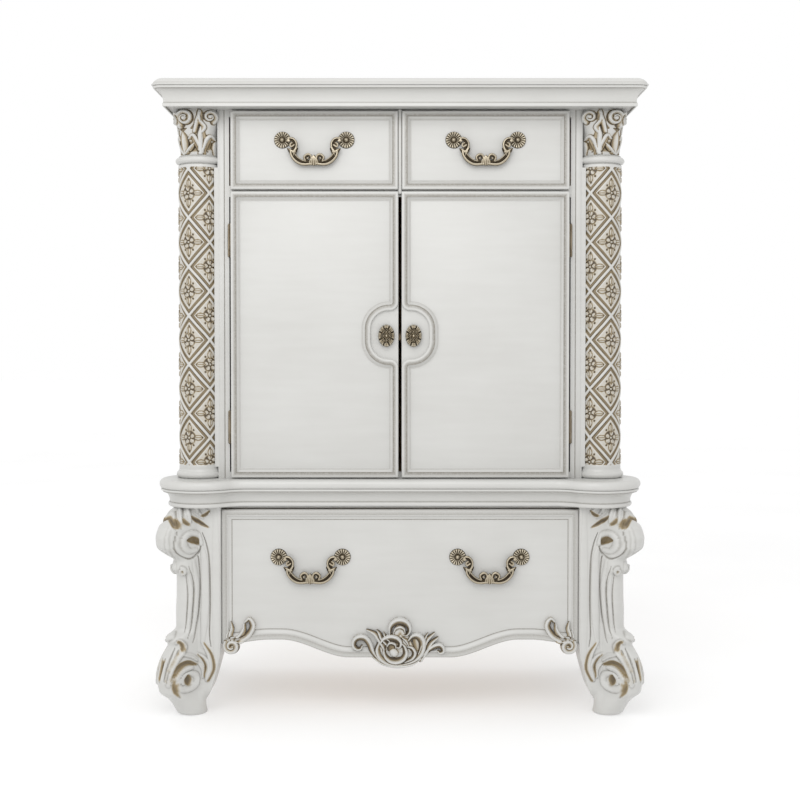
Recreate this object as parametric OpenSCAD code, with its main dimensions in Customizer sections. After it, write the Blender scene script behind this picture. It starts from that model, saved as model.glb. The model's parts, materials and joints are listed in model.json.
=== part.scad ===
// Tall two-part armoire: moulded cornice, carved corner columns, a pair of doors under two drawers,
// a serpentine waist and a wide bottom drawer between scroll legs.
// Millimetres, +Z up, front towards -Y, origin on the floor at the centre of the bounding box.

/* [Case] */
// Overall width across the cornice
case_w = 1220; // [1190:5:1250]
// Overall depth from the cornice nose to the back
case_d = 510; // [490:5:530]
// Overall height above the floor
case_h = 1586; // [1560:2:1620]
// Height of the waist board's top above the floor
waist_z = 591; // [588:1:596]
// Thickness of the case boards
board_t = 18; // [16:1:20]

/* [Cornice] */
// Height of the cornice moulding and top board together
cornice_h = 68; // [64:1:72]
// Height of the rolled top board
top_board_h = 24; // [22:1:26]

/* [Columns] */
// Radius of the carved shaft
column_r = 54; // [50:1:55]
// Largest radius of the ring, base and capital
column_ring_r = 61; // [58:1:62]
// Height of the capital
capital_h = 114; // [108:2:120]

/* [Doors and drawers] */
// Height of the two upper drawer fronts
upper_front_h = 196; // [190:1:200]
// Thickness of the door panels
door_panel_t = 11; // [10:1:12]
// How far the frame mouldings stand off the panels
moulding_t = 9; // [7:1:10]
// Width of the frame mouldings
moulding_w = 23.5; // [20:0.5:26]
// Reach of the knob plate's surround from the centre line
knob_plate_reach = 94; // [88:1:98]
// Height of the shelf's underside above the waist board
shelf_rise = 349; // [300:1:400]

/* [Handles] */
// Distance between the two rosettes of a bail handle
rosette_gap = 160; // [150:1:170]
// Radius of a rosette
rosette_r = 21; // [19:0.5:23]
// How far a bail hangs below its pivots
bail_drop = 56; // [50:1:60]

/* [Legs] */
// Reach of the scrolls beyond the leg's axis, along the diagonal
scroll_reach = 97; // [90:1:98]
// Width of the scroll slab across the diagonal
scroll_w = 90; // [80:1:92]

/* [Hidden] */

EPS = 0.01;
ROUND = 64;
PEARL = [0.9, 0.89, 0.87];
PEARL_SHADE = [0.84, 0.83, 0.8];
PALE_WOOD = [0.72, 0.6, 0.44];
ANTIQUE_BRASS = [0.55, 0.48, 0.36];
STEEL = [0.6, 0.6, 0.6];

half_w = case_w / 2;
front_y = -case_d / 2;
back_y = case_d / 2;
cornice_z = case_h - cornice_h;
top_board_z = case_h - top_board_h;

// Planes of the upper case
frame_y = front_y + 96;
frame_t = 20;
column_x = half_w - 101;
column_y = frame_y + 35;
side_x = column_x + 35;
opening_x = half_w - 180;
liner_t = 12;
back_t = 8;
stile_x = opening_x + 12.5;

// Heights of the upper case
floor_t = 16;
capital_z = cornice_z - capital_h;
ring_h = 30;
ring_z = capital_z - ring_h;
base_h = 29;
front_top_z = cornice_z - 5;
front_z = front_top_z - upper_front_h;
door_top_z = front_z - 5;
door_z = waist_z + 3;
rail_z = door_top_z - 12;
rail_top_z = front_z + 11;
top_rail_z = cornice_z - 18;

// Doors
meet_gap = 4;
drawer_gap = 5;
front_x = opening_x - 5.5;
door_back_y = frame_y - 1;
door_face_y = door_back_y - door_panel_t;
knob_z = door_z + (door_top_z - door_z) * 0.497;
knob_x = 34;
plate_h = 85;
plate_corner_r = 42;

// Hinges
hinge_y = frame_y - 5;
hinge_len = 85;
knuckle_r = 3.4;
pin_r = 1.5;
pin_clear = 0.05;

// Upper drawers
drawer_panel_t = 9;
drawer_face_y = door_back_y - drawer_panel_t;
box_wall = 12;
box_len = 380;
run_clear = 0.4;
box_in_x = 14 + run_clear;
box_out_x = opening_x - 12.4;
runner_z = rail_top_z;
runner_t = 8;
box_z = runner_z + runner_t + run_clear;
box_top_z = top_rail_z - 6;

// Waist
waist_board_h = 23;
waist_h = 68;
waist_under_z = waist_z - waist_h;
lobe_r = 110;
lobe_x = half_w - 1 - lobe_r;
lobe_y = front_y + lobe_r;
waist_front_y = front_y + 45;
waist_side_x = half_w - 32;

// Lower case
leg_x = half_w - 105;
leg_y = front_y + 105;
leg_in_x = leg_x - 55;
wide_half = leg_in_x - 1;
wide_back_y = frame_y - 4;
wide_panel_t = 14;
wide_moulding_t = 8;
wide_face_y = wide_back_y - wide_panel_t;
wide_front_y = wide_face_y - wide_moulding_t;
wide_top_z = waist_under_z - 8;
lower_side_x = half_w - 60;
guide_t = 12.5;
guide_x = leg_in_x - guide_t;
guide_z = 196;
ledge_t = 12;
wide_box_half = guide_x - 1.5;
wide_box_z = guide_z + ledge_t + run_clear;
wide_box_top_z = waist_under_z - 43;
wide_box_len = 390;

// Handles
post_r = 5;
bail_pin_r = 2;
bail_y_off = 14;
pivot_x = rosette_gap / 2 - 17;
pull_x = (drawer_gap + front_x) / 2;
pull_z = front_z + upper_front_h * 0.617;
wide_pull_x = 225;
wide_pull_z = 391;

function arc_points(cx, cz, rx, rz, a0, a1, steps) =
    [for (i = [0:steps]) let (a = a0 + (a1 - a0) * i / steps) [cx + rx * cos(a), cz + rz * sin(a)]];

function blend(t) = t <= 0 ? 0 : t >= 1 ? 1 : t * t * (3 - 2 * t);

// Height of the wide drawer's scalloped lower edge at a distance from its centre
function apron_z(x) = 141 + 45 * blend((x - 128) / 170) - 10 * blend((x - 330) / 100);

// Box given by its low and high corners
module block(low, high) {
    translate(low) cube(high - low);
}

module both_sides() {
    children();
    mirror([1, 0, 0]) children();
}

// Runs an (outward, up) section along X, facing -Y, with its zero line at y
module run_front(x0, x1, y) {
    translate([x0, y, 0]) rotate([90, 0, 90]) linear_extrude(x1 - x0) mirror([1, 0]) children();
}

// Runs the same section along Y, facing +X, with its zero line at x
module run_side(x, y0, y1) {
    translate([x, y1, 0]) rotate([90, 0, 0]) linear_extrude(y1 - y0) children();
}

// A section swept round the front and both sides, with rounded front corners
module moulded_round(hx, yf, yb, corner_r) {
    run_front(-hx + corner_r, hx - corner_r, yf) children();
    both_sides() {
        run_side(hx, yf + corner_r, yb) children();
        translate([hx - corner_r, yf + corner_r, 0]) rotate_extrude($fn = ROUND)
            intersection() {
                translate([corner_r, 0]) children();
                translate([0, -1]) square([corner_r + 1, 4000]);
            }
    }
}

// Section of the rolled top board, its nose at zero
module top_board_section() {
    roll = arc_points(-54, 3, 54, top_board_h - 3, 90, 0, 10);
    polygon(concat([[-56, 0], [-56, top_board_h]], roll, [[-3, 0]]));
}

// Section of the cove under the top board
module cornice_section() {
    cove_h = cornice_h - top_board_h - 10;
    cove = arc_points(-6, 4, 21, cove_h, 90, 180, 10);
    polygon(concat([[-54, 0], [-54, cornice_h - top_board_h], [-4, cornice_h - top_board_h],
        [-4, cove_h + 4]], cove, [[-29, 4], [-29, 0]]));
}

module top_board() {
    color(PEARL) translate([0, 0, top_board_z]) {
        moulded_round(half_w, front_y, back_y, 56) top_board_section();
        block([-half_w + 56, front_y + 56, 0], [half_w - 56, back_y, top_board_h]);
    }
}

module cornice_moulding() {
    inner_x = side_x - board_t;
    color(PEARL) translate([0, 0, cornice_z]) difference() {
        union() {
            moulded_round(half_w, front_y, back_y, 56) cornice_section();
            block([-half_w + 54, front_y + 54, 0], [half_w - 54, back_y, cornice_h - top_board_h]);
        }
        block([-inner_x, frame_y + frame_t, -1], [inner_x, back_y + 1, cornice_h]);
    }
}

// Everything of the corner column that the boards beside it must stay clear of
module column_space() {
    translate([column_x, column_y, waist_z - 1]) cylinder(r = column_ring_r, h = base_h + 1, $fn = ROUND);
    translate([column_x, column_y, waist_z]) cylinder(r = column_r, h = cornice_z - waist_z, $fn = ROUND);
    translate([column_x, column_y, ring_z]) cylinder(r = column_ring_r, h = ring_h + capital_h + 1, $fn = ROUND);
}

module upper_side() {
    color(PEARL) difference() {
        block([side_x - board_t, column_y, waist_z], [side_x, back_y, cornice_z]);
        column_space();
    }
}

module upper_side_left() {
    mirror([1, 0, 0]) upper_side();
}

module upper_side_right() {
    upper_side();
}

module inner_sides() {
    color(PALE_WOOD) both_sides()
        block([opening_x, frame_y + frame_t, waist_z], [opening_x + liner_t, back_y - back_t, cornice_z]);
}

module upper_back() {
    x = side_x - board_t;
    color(PALE_WOOD) block([-x, back_y - back_t, waist_z], [x, back_y, top_board_z]);
}

module face_stiles() {
    color(PEARL) both_sides()
        block([opening_x, frame_y, waist_z], [stile_x, frame_y + frame_t, cornice_z]);
}

module pilasters() {
    color(PEARL) both_sides() difference() {
        block([stile_x, frame_y, waist_z], [column_x - 20, frame_y + frame_t, cornice_z]);
        column_space();
    }
}

module face_rails() {
    color(PEARL) {
        block([-opening_x, frame_y, waist_z], [opening_x, frame_y + frame_t, waist_z + floor_t]);
        block([-opening_x, frame_y, rail_z], [opening_x, frame_y + frame_t, rail_top_z]);
        block([-opening_x, frame_y, top_rail_z], [opening_x, frame_y + frame_t, cornice_z]);
    }
}

module drawer_partition() {
    color(PALE_WOOD) {
        block([-14, frame_y, rail_top_z], [14, frame_y + frame_t, top_rail_z]);
        block([-8, frame_y + frame_t, rail_top_z - 12], [8, back_y - back_t, cornice_z]);
    }
}

module dust_panel() {
    color(PALE_WOOD)
        block([-opening_x, frame_y + frame_t, rail_top_z - 22], [opening_x, back_y - back_t, rail_top_z - 12]);
}

module cabinet_floor() {
    color(PALE_WOOD)
        block([-opening_x, frame_y + frame_t, waist_z], [opening_x, back_y - back_t, waist_z + floor_t]);
}

module shelf() {
    z = waist_z + shelf_rise;
    color(PALE_WOOD)
        block([-opening_x + 1, frame_y + frame_t + 10, z], [opening_x - 1, back_y - back_t - 4, z + 16]);
}

module shelf_pins() {
    color(STEEL) both_sides() for (y = [frame_y + 60, back_y - 60])
        translate([opening_x - 12, y, waist_z + shelf_rise - 2.5]) rotate([0, 90, 0]) cylinder(r = 2.5, h = 12, $fn = 24);
}

// Turned shaft with the crossing ribs of its lattice carving
module column() {
    shaft_z = waist_z + base_h;
    shaft_h = ring_z - shaft_z;
    color(PEARL) translate([column_x, column_y, shaft_z]) cylinder(r = column_r, h = shaft_h, $fn = 96);
}

module column_left() {
    mirror([1, 0, 0]) column();
}

module column_right() {
    column();
}

// Roll of a capital's scroll, its axis level and across the direction it faces
module capital_scroll(angle, r, w) {
    rotate([0, 0, angle]) translate([38, -w / 2, 96 - r + 4]) rotate([-90, 0, 0]) cylinder(r = r, h = w, $fn = 48);
}

// Bell of leaves with a corner scroll on the diagonal and a plain abacus
module capital() {
    bell = [[0, 0], [44, 0], [52, 10], [53, 26], [46, 34], [54, 44], [55, 58], [46, 66], [44, 84],
        [50, 96], [0, 96]];
    color(PEARL) translate([column_x, column_y, capital_z]) {
        rotate_extrude($fn = 96) polygon(bell);
        translate([0, 0, 96]) cylinder(r = 58, h = capital_h - 96, $fn = 96);
        capital_scroll(-45, 22, 48);
        for (a = [-135, 45]) capital_scroll(a, 13, 44);
    }
}

module capital_left() {
    mirror([1, 0, 0]) capital();
}

module capital_right() {
    capital();
}

module column_rings() {
    bulge = arc_points(column_ring_r - 11, ring_h * 0.62, 11, 9, -90, 90, 8);
    color(PEARL) both_sides() translate([column_x, column_y, ring_z]) rotate_extrude($fn = 96)
        polygon(concat([[0, 0], [column_r, 0], [column_r, 6], [column_r - 4, 9]], bulge,
            [[column_r - 2, ring_h], [0, ring_h]]));
}

module column_bases() {
    foot = arc_points(column_ring_r - 9, 9, 9, 9, -90, 60, 8);
    color(PEARL) both_sides() translate([column_x, column_y, waist_z]) rotate_extrude($fn = 96)
        polygon(concat([[0, 0]], foot, [[column_r, base_h - 6], [column_r, base_h], [0, base_h]]));
}

// A section swept round the waist: straight middle, round corner lobes and straight sides
module waist_sweep() {
    run_front(-lobe_x, lobe_x, waist_front_y) children();
    both_sides() {
        run_side(waist_side_x, lobe_y, back_y) children();
        translate([lobe_x, lobe_y, 0]) rotate_extrude($fn = 96) intersection() {
            translate([lobe_r, 0]) children();
            translate([0, -1]) square([lobe_r + 1, 2000]);
        }
    }
}

module waist_board_section() {
    nose = arc_points(-12, waist_board_h / 2, 12, waist_board_h / 2, 90, -90, 10);
    polygon(concat([[-lobe_r, 0], [-lobe_r, waist_board_h]], nose));
}

module waist_moulding_section() {
    h = waist_h - waist_board_h;
    cove_h = h - 16;
    cove = arc_points(-8, 10, 18, cove_h, 90, 180, 10);
    polygon(concat([[-60, 0], [-60, h], [-5, h], [-5, h - 6]], cove, [[-28, 10], [-28, 0]]));
}

module waist_board() {
    color(PEARL) translate([0, 0, waist_z - waist_board_h]) {
        waist_sweep() waist_board_section();
        block([-waist_side_x + 20, waist_front_y + 20, 0], [waist_side_x - 20, back_y, waist_board_h]);
    }
}

module waist_moulding() {
    inner_x = lower_side_x - board_t;
    color(PEARL) translate([0, 0, waist_under_z]) difference() {
        union() {
            waist_sweep() waist_moulding_section();
            both_sides() translate([lobe_x, lobe_y, 0])
                cylinder(r = 56, h = waist_h - waist_board_h, $fn = 96);
        }
        block([-inner_x, wide_back_y + 33, -1], [inner_x, back_y + 1, waist_h]);
    }
}

module lower_sides() {
    color(PEARL) both_sides()
        block([lower_side_x - board_t, leg_y + 55, 150], [lower_side_x, back_y - 80, waist_under_z]);
}

module lower_back() {
    x = lower_side_x - 80;
    top_x = lower_side_x - board_t;
    color(PALE_WOOD) {
        block([-x, back_y - 12, 150], [x, back_y, waist_under_z]);
        block([-top_x, back_y - 12, waist_under_z], [top_x, back_y, waist_z - waist_board_h]);
    }
}

module lower_rail() {
    color(PALE_WOOD)
        block([-leg_in_x, wide_back_y + 3, waist_under_z - 18], [leg_in_x, wide_back_y + 23, waist_under_z]);
}

module lower_bottom() {
    color(PALE_WOOD)
        block([-leg_in_x, wide_back_y + 13, guide_z - 8], [leg_in_x, back_y - 12, guide_z]);
}

// Outline of the scroll leg in its diagonal plane: distance outward against height
module leg_outline() {
    top = waist_under_z;
    translate([scroll_reach - 42, 446]) circle(r = 42, $fn = 64);
    translate([scroll_reach - 45, 104]) circle(r = 45, $fn = 64);
    translate([38, 360]) circle(r = 12, $fn = 32);
    translate([48, 190]) circle(r = 17, $fn = 32);
    polygon([[-10, top], [24, top], [48, 484], [40, 410], [30, 360], [30, 240], [38, 200],
        [60, 140], [20, 64], [-10, 90]]);
}

module front_leg() {
    color(PEARL) {
        translate([leg_x, leg_y, 0]) rotate([0, 0, -45]) translate([0, scroll_w / 2, 0])
            rotate([90, 0, 0]) linear_extrude(scroll_w) leg_outline();
        block([leg_in_x, leg_y - 35, 150], [leg_x + 36, leg_y + 55, waist_under_z]);
        translate([leg_x + 18, leg_y - 18, 6]) cylinder(r1 = 30, r2 = 42, h = 84, $fn = 64);
    }
}

module front_leg_left() {
    mirror([1, 0, 0]) front_leg();
}

module front_leg_right() {
    front_leg();
}

module back_legs() {
    x = lower_side_x - 80;
    color(PEARL) both_sides() translate([0, back_y, 0]) rotate([90, 0, 0]) linear_extrude(80)
        polygon([[x, waist_under_z], [x, 190], [x + 44, 140], [x + 74, 92], [x + 86, 6], [x + 126, 6],
            [x + 120, 60], [x + 100, 120], [x + 84, 170], [x + 80, 210], [x + 80, waist_under_z]]);
}

module glides() {
    color(STEEL) both_sides() {
        translate([leg_x + 18, leg_y - 18, 0]) cylinder(r = 14, h = 6, $fn = 32);
        translate([lower_side_x + 26, back_y - 40, 0]) cylinder(r = 14, h = 6, $fn = 32);
    }
}

// Wooden ledges and guides that the three drawers run on
module case_runners() {
    top_y0 = frame_y + frame_t;
    top_y1 = back_y - back_t;
    color(PALE_WOOD) both_sides() {
        block([8, top_y0, runner_z - 12], [24, top_y1, runner_z + runner_t]);
        block([opening_x - 24, top_y0, runner_z - 12], [opening_x, top_y1, runner_z + runner_t]);
        block([opening_x - 12, top_y0, runner_z], [opening_x, top_y1, runner_z + 34]);
        block([guide_x - 18, wide_back_y + 13, guide_z], [leg_in_x, back_y - 12, guide_z + ledge_t]);
        block([guide_x, wide_back_y + 13, guide_z], [leg_in_x, back_y - 12, guide_z + 70]);
    }
}

function hinge_heights() = [waist_z + 87, front_z - 169];

// Leaf screwed to the stile, its two knuckles and the pin riveted in them
module hinge_frame_leaves() {
    end_len = 28;
    color(STEEL) both_sides() for (z = hinge_heights()) translate([opening_x, hinge_y, z]) {
        for (k = [0, hinge_len - end_len]) translate([0, 0, k]) {
            cylinder(r = knuckle_r, h = end_len, $fn = 32);
            block([0, 2.4, 0], [11, 5, end_len]);
        }
        block([4.5, 2.4, 0], [11, 5, hinge_len]);
        cylinder(r = pin_r, h = hinge_len, $fn = 32);
    }
}

module door_catches() {
    color(STEEL) both_sides() block([22, frame_y + 1, rail_z - 14], [62, frame_y + frame_t, rail_z]);
}

// Outline with a round-cornered step around the knob plate, open towards the meeting edge
module plate_outline(reach, half_h, corner) {
    translate([0, knob_z]) {
        translate([-10, -half_h + corner]) square([reach + 10, 2 * (half_h - corner)]);
        translate([-10, -half_h]) square([reach + 10 - corner, 2 * half_h]);
        for (s = [-1, 1]) translate([reach - corner, s * (half_h - corner)]) circle(r = corner, $fn = ROUND);
    }
}

module door_panel() {
    color(PEARL) block([meet_gap, door_face_y, door_z], [front_x, door_back_y, door_top_z]);
}

// Frame moulding of a door, swinging round the knob plate at the meeting edge
module door_moulding() {
    w = front_x - meet_gap;
    h = door_top_z - door_z;
    band = 29;
    color(PEARL) translate([0, door_face_y, 0]) rotate([90, 0, 0]) linear_extrude(moulding_t) difference() {
        translate([meet_gap, door_z]) square([w, h]);
        difference() {
            translate([meet_gap + moulding_w, door_z + moulding_w])
                square([w - 2 * moulding_w, h - 2 * moulding_w]);
            plate_outline(knob_plate_reach, plate_h, plate_corner_r);
        }
        plate_outline(knob_plate_reach - band, plate_h - band + 5, plate_corner_r - 16);
    }
}

// Oval rosette knob on a short neck
module door_knob() {
    color(ANTIQUE_BRASS) translate([knob_x, door_face_y, knob_z]) rotate([90, 0, 0]) {
        cylinder(r = 9, h = 14, $fn = 32);
        for (z = [-8, 0, 8]) translate([0, z, 12]) cylinder(r1 = 21, r2 = 17, h = 11, $fn = 48);
        translate([0, 0, 22]) cylinder(r1 = 12, r2 = 6, h = 7, $fn = 32);
    }
}

// Leaf let into the door's edge and the middle knuckle that turns on the pin
module door_hinge_leaves() {
    mid_z = 28.4;
    mid_len = hinge_len - 2 * mid_z;
    color(STEEL) for (z = hinge_heights()) translate([opening_x, hinge_y, z]) difference() {
        union() {
            translate([0, 0, mid_z]) cylinder(r = knuckle_r, h = mid_len, $fn = 32);
            block([-5.5, -8, 0], [-4, 3, hinge_len]);
            block([-5.5, -2, mid_z], [-2, 2, mid_z + mid_len]);
        }
        translate([0, 0, mid_z - 1]) cylinder(r = pin_r + pin_clear, h = mid_len + 2, $fn = 32);
    }
}

module door_left_panel() {
    mirror([1, 0, 0]) door_panel();
}

module door_left_moulding() {
    mirror([1, 0, 0]) door_moulding();
}

module door_left_knob() {
    mirror([1, 0, 0]) door_knob();
}

module door_left_hinge_leaves() {
    mirror([1, 0, 0]) door_hinge_leaves();
}

module door_right_panel() {
    door_panel();
}

module door_right_moulding() {
    door_moulding();
}

module door_right_knob() {
    door_knob();
}

module door_right_hinge_leaves() {
    door_hinge_leaves();
}

// Drawer front with its frame moulding standing round a sunk field
module upper_front() {
    color(PEARL) {
        block([drawer_gap, drawer_face_y, front_z], [front_x, door_back_y, front_top_z]);
        difference() {
            block([drawer_gap, drawer_face_y - moulding_t, front_z], [front_x, drawer_face_y + EPS, front_top_z]);
            block([drawer_gap + moulding_w, drawer_face_y - 20, front_z + moulding_w],
                [front_x - moulding_w, drawer_face_y + 1, front_top_z - moulding_w]);
        }
    }
}

// Sides and back of a drawer box, from x0 to x1, closed at the front by the drawer front
module drawer_box(x0, x1, y0, y1, z0, z1) {
    color(PALE_WOOD) difference() {
        block([x0, y0, z0], [x1, y1, z1]);
        block([x0 + box_wall, y0 - 1, z0 - 1], [x1 - box_wall, y1 - box_wall, z1 + 1]);
    }
}

module drawer_bottom(x0, x1, y0, y1, z0) {
    color(PALE_WOOD) block([x0 + box_wall, y0, z0 + 6], [x1 - box_wall, y1 - box_wall, z0 + 11]);
}

module upper_box() {
    drawer_box(box_in_x, box_out_x, door_back_y, door_back_y + box_len, box_z, box_top_z);
}

module upper_bottom() {
    drawer_bottom(box_in_x, box_out_x, door_back_y, door_back_y + box_len, box_z);
}

// Pair of rosettes with the pierced posts that a bail turns in; zero is midway, on the drawer's field
module pull_base() {
    color(ANTIQUE_BRASS) for (s = [-1, 1]) {
        translate([s * rosette_gap / 2, 0, 0]) rotate([90, 0, 0]) {
            cylinder(r1 = rosette_r, r2 = rosette_r - 3, h = 6, $fn = 48);
            translate([0, 0, 6 - EPS]) cylinder(r1 = 7, r2 = 4, h = 5, $fn = 32);
        }
        difference() {
            union() {
                translate([s * pivot_x, 0, 0]) rotate([90, 0, 0]) cylinder(r = post_r - 1, h = bail_y_off, $fn = 32);
                translate([s * pivot_x - post_r, -bail_y_off, 0]) rotate([0, 90, 0])
                    cylinder(r = post_r, h = 2 * post_r, $fn = 32);
            }
            translate([s * pivot_x - 10, -bail_y_off, 0]) rotate([0, 90, 0])
                cylinder(r = bail_pin_r + 0.06, h = 20, $fn = 32);
        }
    }
}

// Flat bar with a round end between two points of the bail's plane
module bail_bar(a, b, r) {
    d = b - a;
    translate(a) rotate(atan2(d[1], d[0])) translate([0, -r]) square([norm(d), 2 * r]);
    translate(b) circle(r = r + 0.5, $fn = 32);
}

// Hanging bail with bent shoulders and a thick centre; zero is midway between the pivots
module bail() {
    path = [[pivot_x - 10, 0], [pivot_x - 15, -10], [pivot_x - 9, -24], [pivot_x - 14, -40],
        [30, -bail_drop + 6], [16, -bail_drop + 5]];
    bar_t = 6.4;
    color(ANTIQUE_BRASS) translate([0, -bail_y_off, 0]) {
        rotate([90, 0, 0]) linear_extrude(bar_t, center = true) {
            for (s = [0, 1]) mirror([s, 0]) {
                translate(path[0]) circle(r = 4.2, $fn = 32);
                for (i = [0:len(path) - 2]) bail_bar(path[i], path[i + 1], 3.2);
            }
            translate([-22, -bail_drop - 2]) square([44, 12]);
        }
        for (s = [0, 1]) mirror([s, 0, 0]) translate([pivot_x - 10, 0, 0]) rotate([0, 90, 0])
            cylinder(r = bail_pin_r, h = 14, $fn = 32);
    }
}

module at_pull(x, y, z) {
    translate([x, y, z]) children();
}

module drawer_left_front() {
    mirror([1, 0, 0]) upper_front();
}

module drawer_left_box() {
    mirror([1, 0, 0]) upper_box();
}

module drawer_left_bottom() {
    mirror([1, 0, 0]) upper_bottom();
}

module drawer_left_pull() {
    at_pull(-pull_x, drawer_face_y, pull_z) pull_base();
}

module drawer_left_bail() {
    at_pull(-pull_x, drawer_face_y, pull_z) bail();
}

module drawer_right_front() {
    upper_front();
}

module drawer_right_box() {
    upper_box();
}

module drawer_right_bottom() {
    upper_bottom();
}

module drawer_right_pull() {
    at_pull(pull_x, drawer_face_y, pull_z) pull_base();
}

module drawer_right_bail() {
    at_pull(pull_x, drawer_face_y, pull_z) bail();
}

// Outline of the wide drawer's front, with the scalloped lower edge, inset by a margin
module wide_outline(inset) {
    half = wide_half - inset;
    steps = 30;
    rise = inset > 0 ? inset * 0.35 : 0;
    lower = [for (i = [-steps:steps]) let (x = half * i / steps) [x, apron_z(abs(x)) + inset + rise]];
    polygon(concat([[half, wide_top_z - inset], [-half, wide_top_z - inset]], lower));
}

module drawer_wide_front() {
    color(PEARL) {
        translate([0, wide_back_y, 0]) rotate([90, 0, 0]) linear_extrude(wide_panel_t) wide_outline(0);
        translate([0, wide_face_y + EPS, 0]) rotate([90, 0, 0]) linear_extrude(wide_moulding_t + EPS)
            difference() {
                wide_outline(0);
                wide_outline(26);
            }
    }
}

// A carved scroll: a thick disc with a raised eye, its axis along Y
module scroll_disc(x, z, r, depth) {
    translate([x, wide_front_y, z]) rotate([90, 0, 0]) {
        cylinder(r1 = r, r2 = r - 3, h = depth, $fn = 48);
        cylinder(r = r * 0.3, h = depth + 3, $fn = 24);
    }
}

// Carved centre cartouche and the two corner scrolls
module drawer_wide_carving() {
    color(PEARL_SHADE) {
        scroll_disc(-100, 180, 22, 13);
        scroll_disc(-66, 170, 28, 12);
        scroll_disc(-34, 176, 26, 12);
        scroll_disc(0, 168, 54, 14);
        scroll_disc(0, 216, 26, 12);
        scroll_disc(36, 182, 28, 12);
        scroll_disc(70, 172, 26, 12);
        scroll_disc(98, 168, 20, 13);
        both_sides() {
            scroll_disc(424, 171, 24, 12);
            scroll_disc(398, 196, 19, 10);
            scroll_disc(384, 224, 17, 9);
        }
    }
}

module drawer_wide_box() {
    drawer_box(-wide_box_half, wide_box_half, wide_back_y, wide_back_y + wide_box_len, wide_box_z, wide_box_top_z);
}

module drawer_wide_bottom() {
    drawer_bottom(-wide_box_half, wide_box_half, wide_back_y, wide_back_y + wide_box_len, wide_box_z);
}

module drawer_wide_pulls() {
    for (s = [-1, 1]) at_pull(s * wide_pull_x, wide_face_y, wide_pull_z) pull_base();
}

module drawer_wide_bail_left() {
    at_pull(-wide_pull_x, wide_face_y, wide_pull_z) bail();
}

module drawer_wide_bail_right() {
    at_pull(wide_pull_x, wide_face_y, wide_pull_z) bail();
}

top_board();
cornice_moulding();
upper_side_left();
upper_side_right();
inner_sides();
upper_back();
face_stiles();
pilasters();
face_rails();
drawer_partition();
dust_panel();
cabinet_floor();
shelf();
shelf_pins();
column_left();
column_right();
capital_left();
capital_right();
column_rings();
column_bases();
waist_board();
waist_moulding();
lower_sides();
lower_back();
lower_rail();
lower_bottom();
front_leg_left();
front_leg_right();
back_legs();
glides();
case_runners();
hinge_frame_leaves();
door_catches();
door_left_panel();
door_left_moulding();
door_left_knob();
door_left_hinge_leaves();
door_right_panel();
door_right_moulding();
door_right_knob();
door_right_hinge_leaves();
drawer_left_front();
drawer_left_box();
drawer_left_bottom();
drawer_left_pull();
drawer_left_bail();
drawer_right_front();
drawer_right_box();
drawer_right_bottom();
drawer_right_pull();
drawer_right_bail();
drawer_wide_front();
drawer_wide_carving();
drawer_wide_box();
drawer_wide_bottom();
drawer_wide_pulls();
drawer_wide_bail_left();
drawer_wide_bail_right();
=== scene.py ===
"""Antique pearl-white armoire with carved corner columns, scroll legs and bail-handled drawers.

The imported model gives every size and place. This script builds the carved and moulded pieces around it,
dresses the plain boards, and sets a pale studio with a camera square to the front.
"""

from __future__ import annotations

import json
import logging
import math
from contextlib import contextmanager
from dataclasses import dataclass
from enum import Enum
from typing import Callable, Iterable, Iterator, Sequence

import bpy
import numpy as np
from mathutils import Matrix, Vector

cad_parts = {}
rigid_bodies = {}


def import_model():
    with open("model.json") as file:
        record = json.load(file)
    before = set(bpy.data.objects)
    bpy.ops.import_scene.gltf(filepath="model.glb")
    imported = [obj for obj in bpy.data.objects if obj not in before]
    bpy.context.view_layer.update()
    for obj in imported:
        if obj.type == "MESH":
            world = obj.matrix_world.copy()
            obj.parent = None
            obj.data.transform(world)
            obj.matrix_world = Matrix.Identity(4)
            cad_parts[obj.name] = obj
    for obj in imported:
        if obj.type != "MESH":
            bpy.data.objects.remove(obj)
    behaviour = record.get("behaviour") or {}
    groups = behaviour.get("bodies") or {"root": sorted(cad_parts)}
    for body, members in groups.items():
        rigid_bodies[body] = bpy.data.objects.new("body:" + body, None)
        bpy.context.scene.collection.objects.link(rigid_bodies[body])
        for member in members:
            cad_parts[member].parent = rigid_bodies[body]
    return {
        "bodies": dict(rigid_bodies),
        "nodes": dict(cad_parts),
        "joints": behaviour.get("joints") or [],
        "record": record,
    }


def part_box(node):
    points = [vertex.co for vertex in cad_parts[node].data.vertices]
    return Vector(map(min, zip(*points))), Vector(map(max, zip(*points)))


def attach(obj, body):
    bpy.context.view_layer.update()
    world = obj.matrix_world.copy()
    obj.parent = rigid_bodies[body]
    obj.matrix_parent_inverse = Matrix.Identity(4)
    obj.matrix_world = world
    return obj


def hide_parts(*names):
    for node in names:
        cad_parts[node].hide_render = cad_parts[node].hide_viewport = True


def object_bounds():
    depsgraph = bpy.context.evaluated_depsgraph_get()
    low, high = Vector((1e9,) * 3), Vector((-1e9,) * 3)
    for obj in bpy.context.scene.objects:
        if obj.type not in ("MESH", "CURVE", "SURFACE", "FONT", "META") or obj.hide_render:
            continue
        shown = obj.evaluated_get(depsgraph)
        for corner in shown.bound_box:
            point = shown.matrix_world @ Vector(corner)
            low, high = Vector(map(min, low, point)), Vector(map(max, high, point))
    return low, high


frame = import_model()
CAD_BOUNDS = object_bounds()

LOG = logging.getLogger("armoire")
MM = 0.001  # metres in a millimetre
WELD = 0.01 * MM  # vertices nearer than this merge
TINY = 1e-9  # keeps divisors off zero
DIAGONAL = math.pi / 4
BOARD_ANGLE = 35.0  # degrees; a board's sharper edges stay crisp
GAP = 0.04  # millimetres that hidden fillings stay short of the surface

Point = tuple[float, float]
Array = np.ndarray
Colour = tuple[float, float, float]
Socket = bpy.types.NodeSocket
Piece = bpy.types.Object


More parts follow.
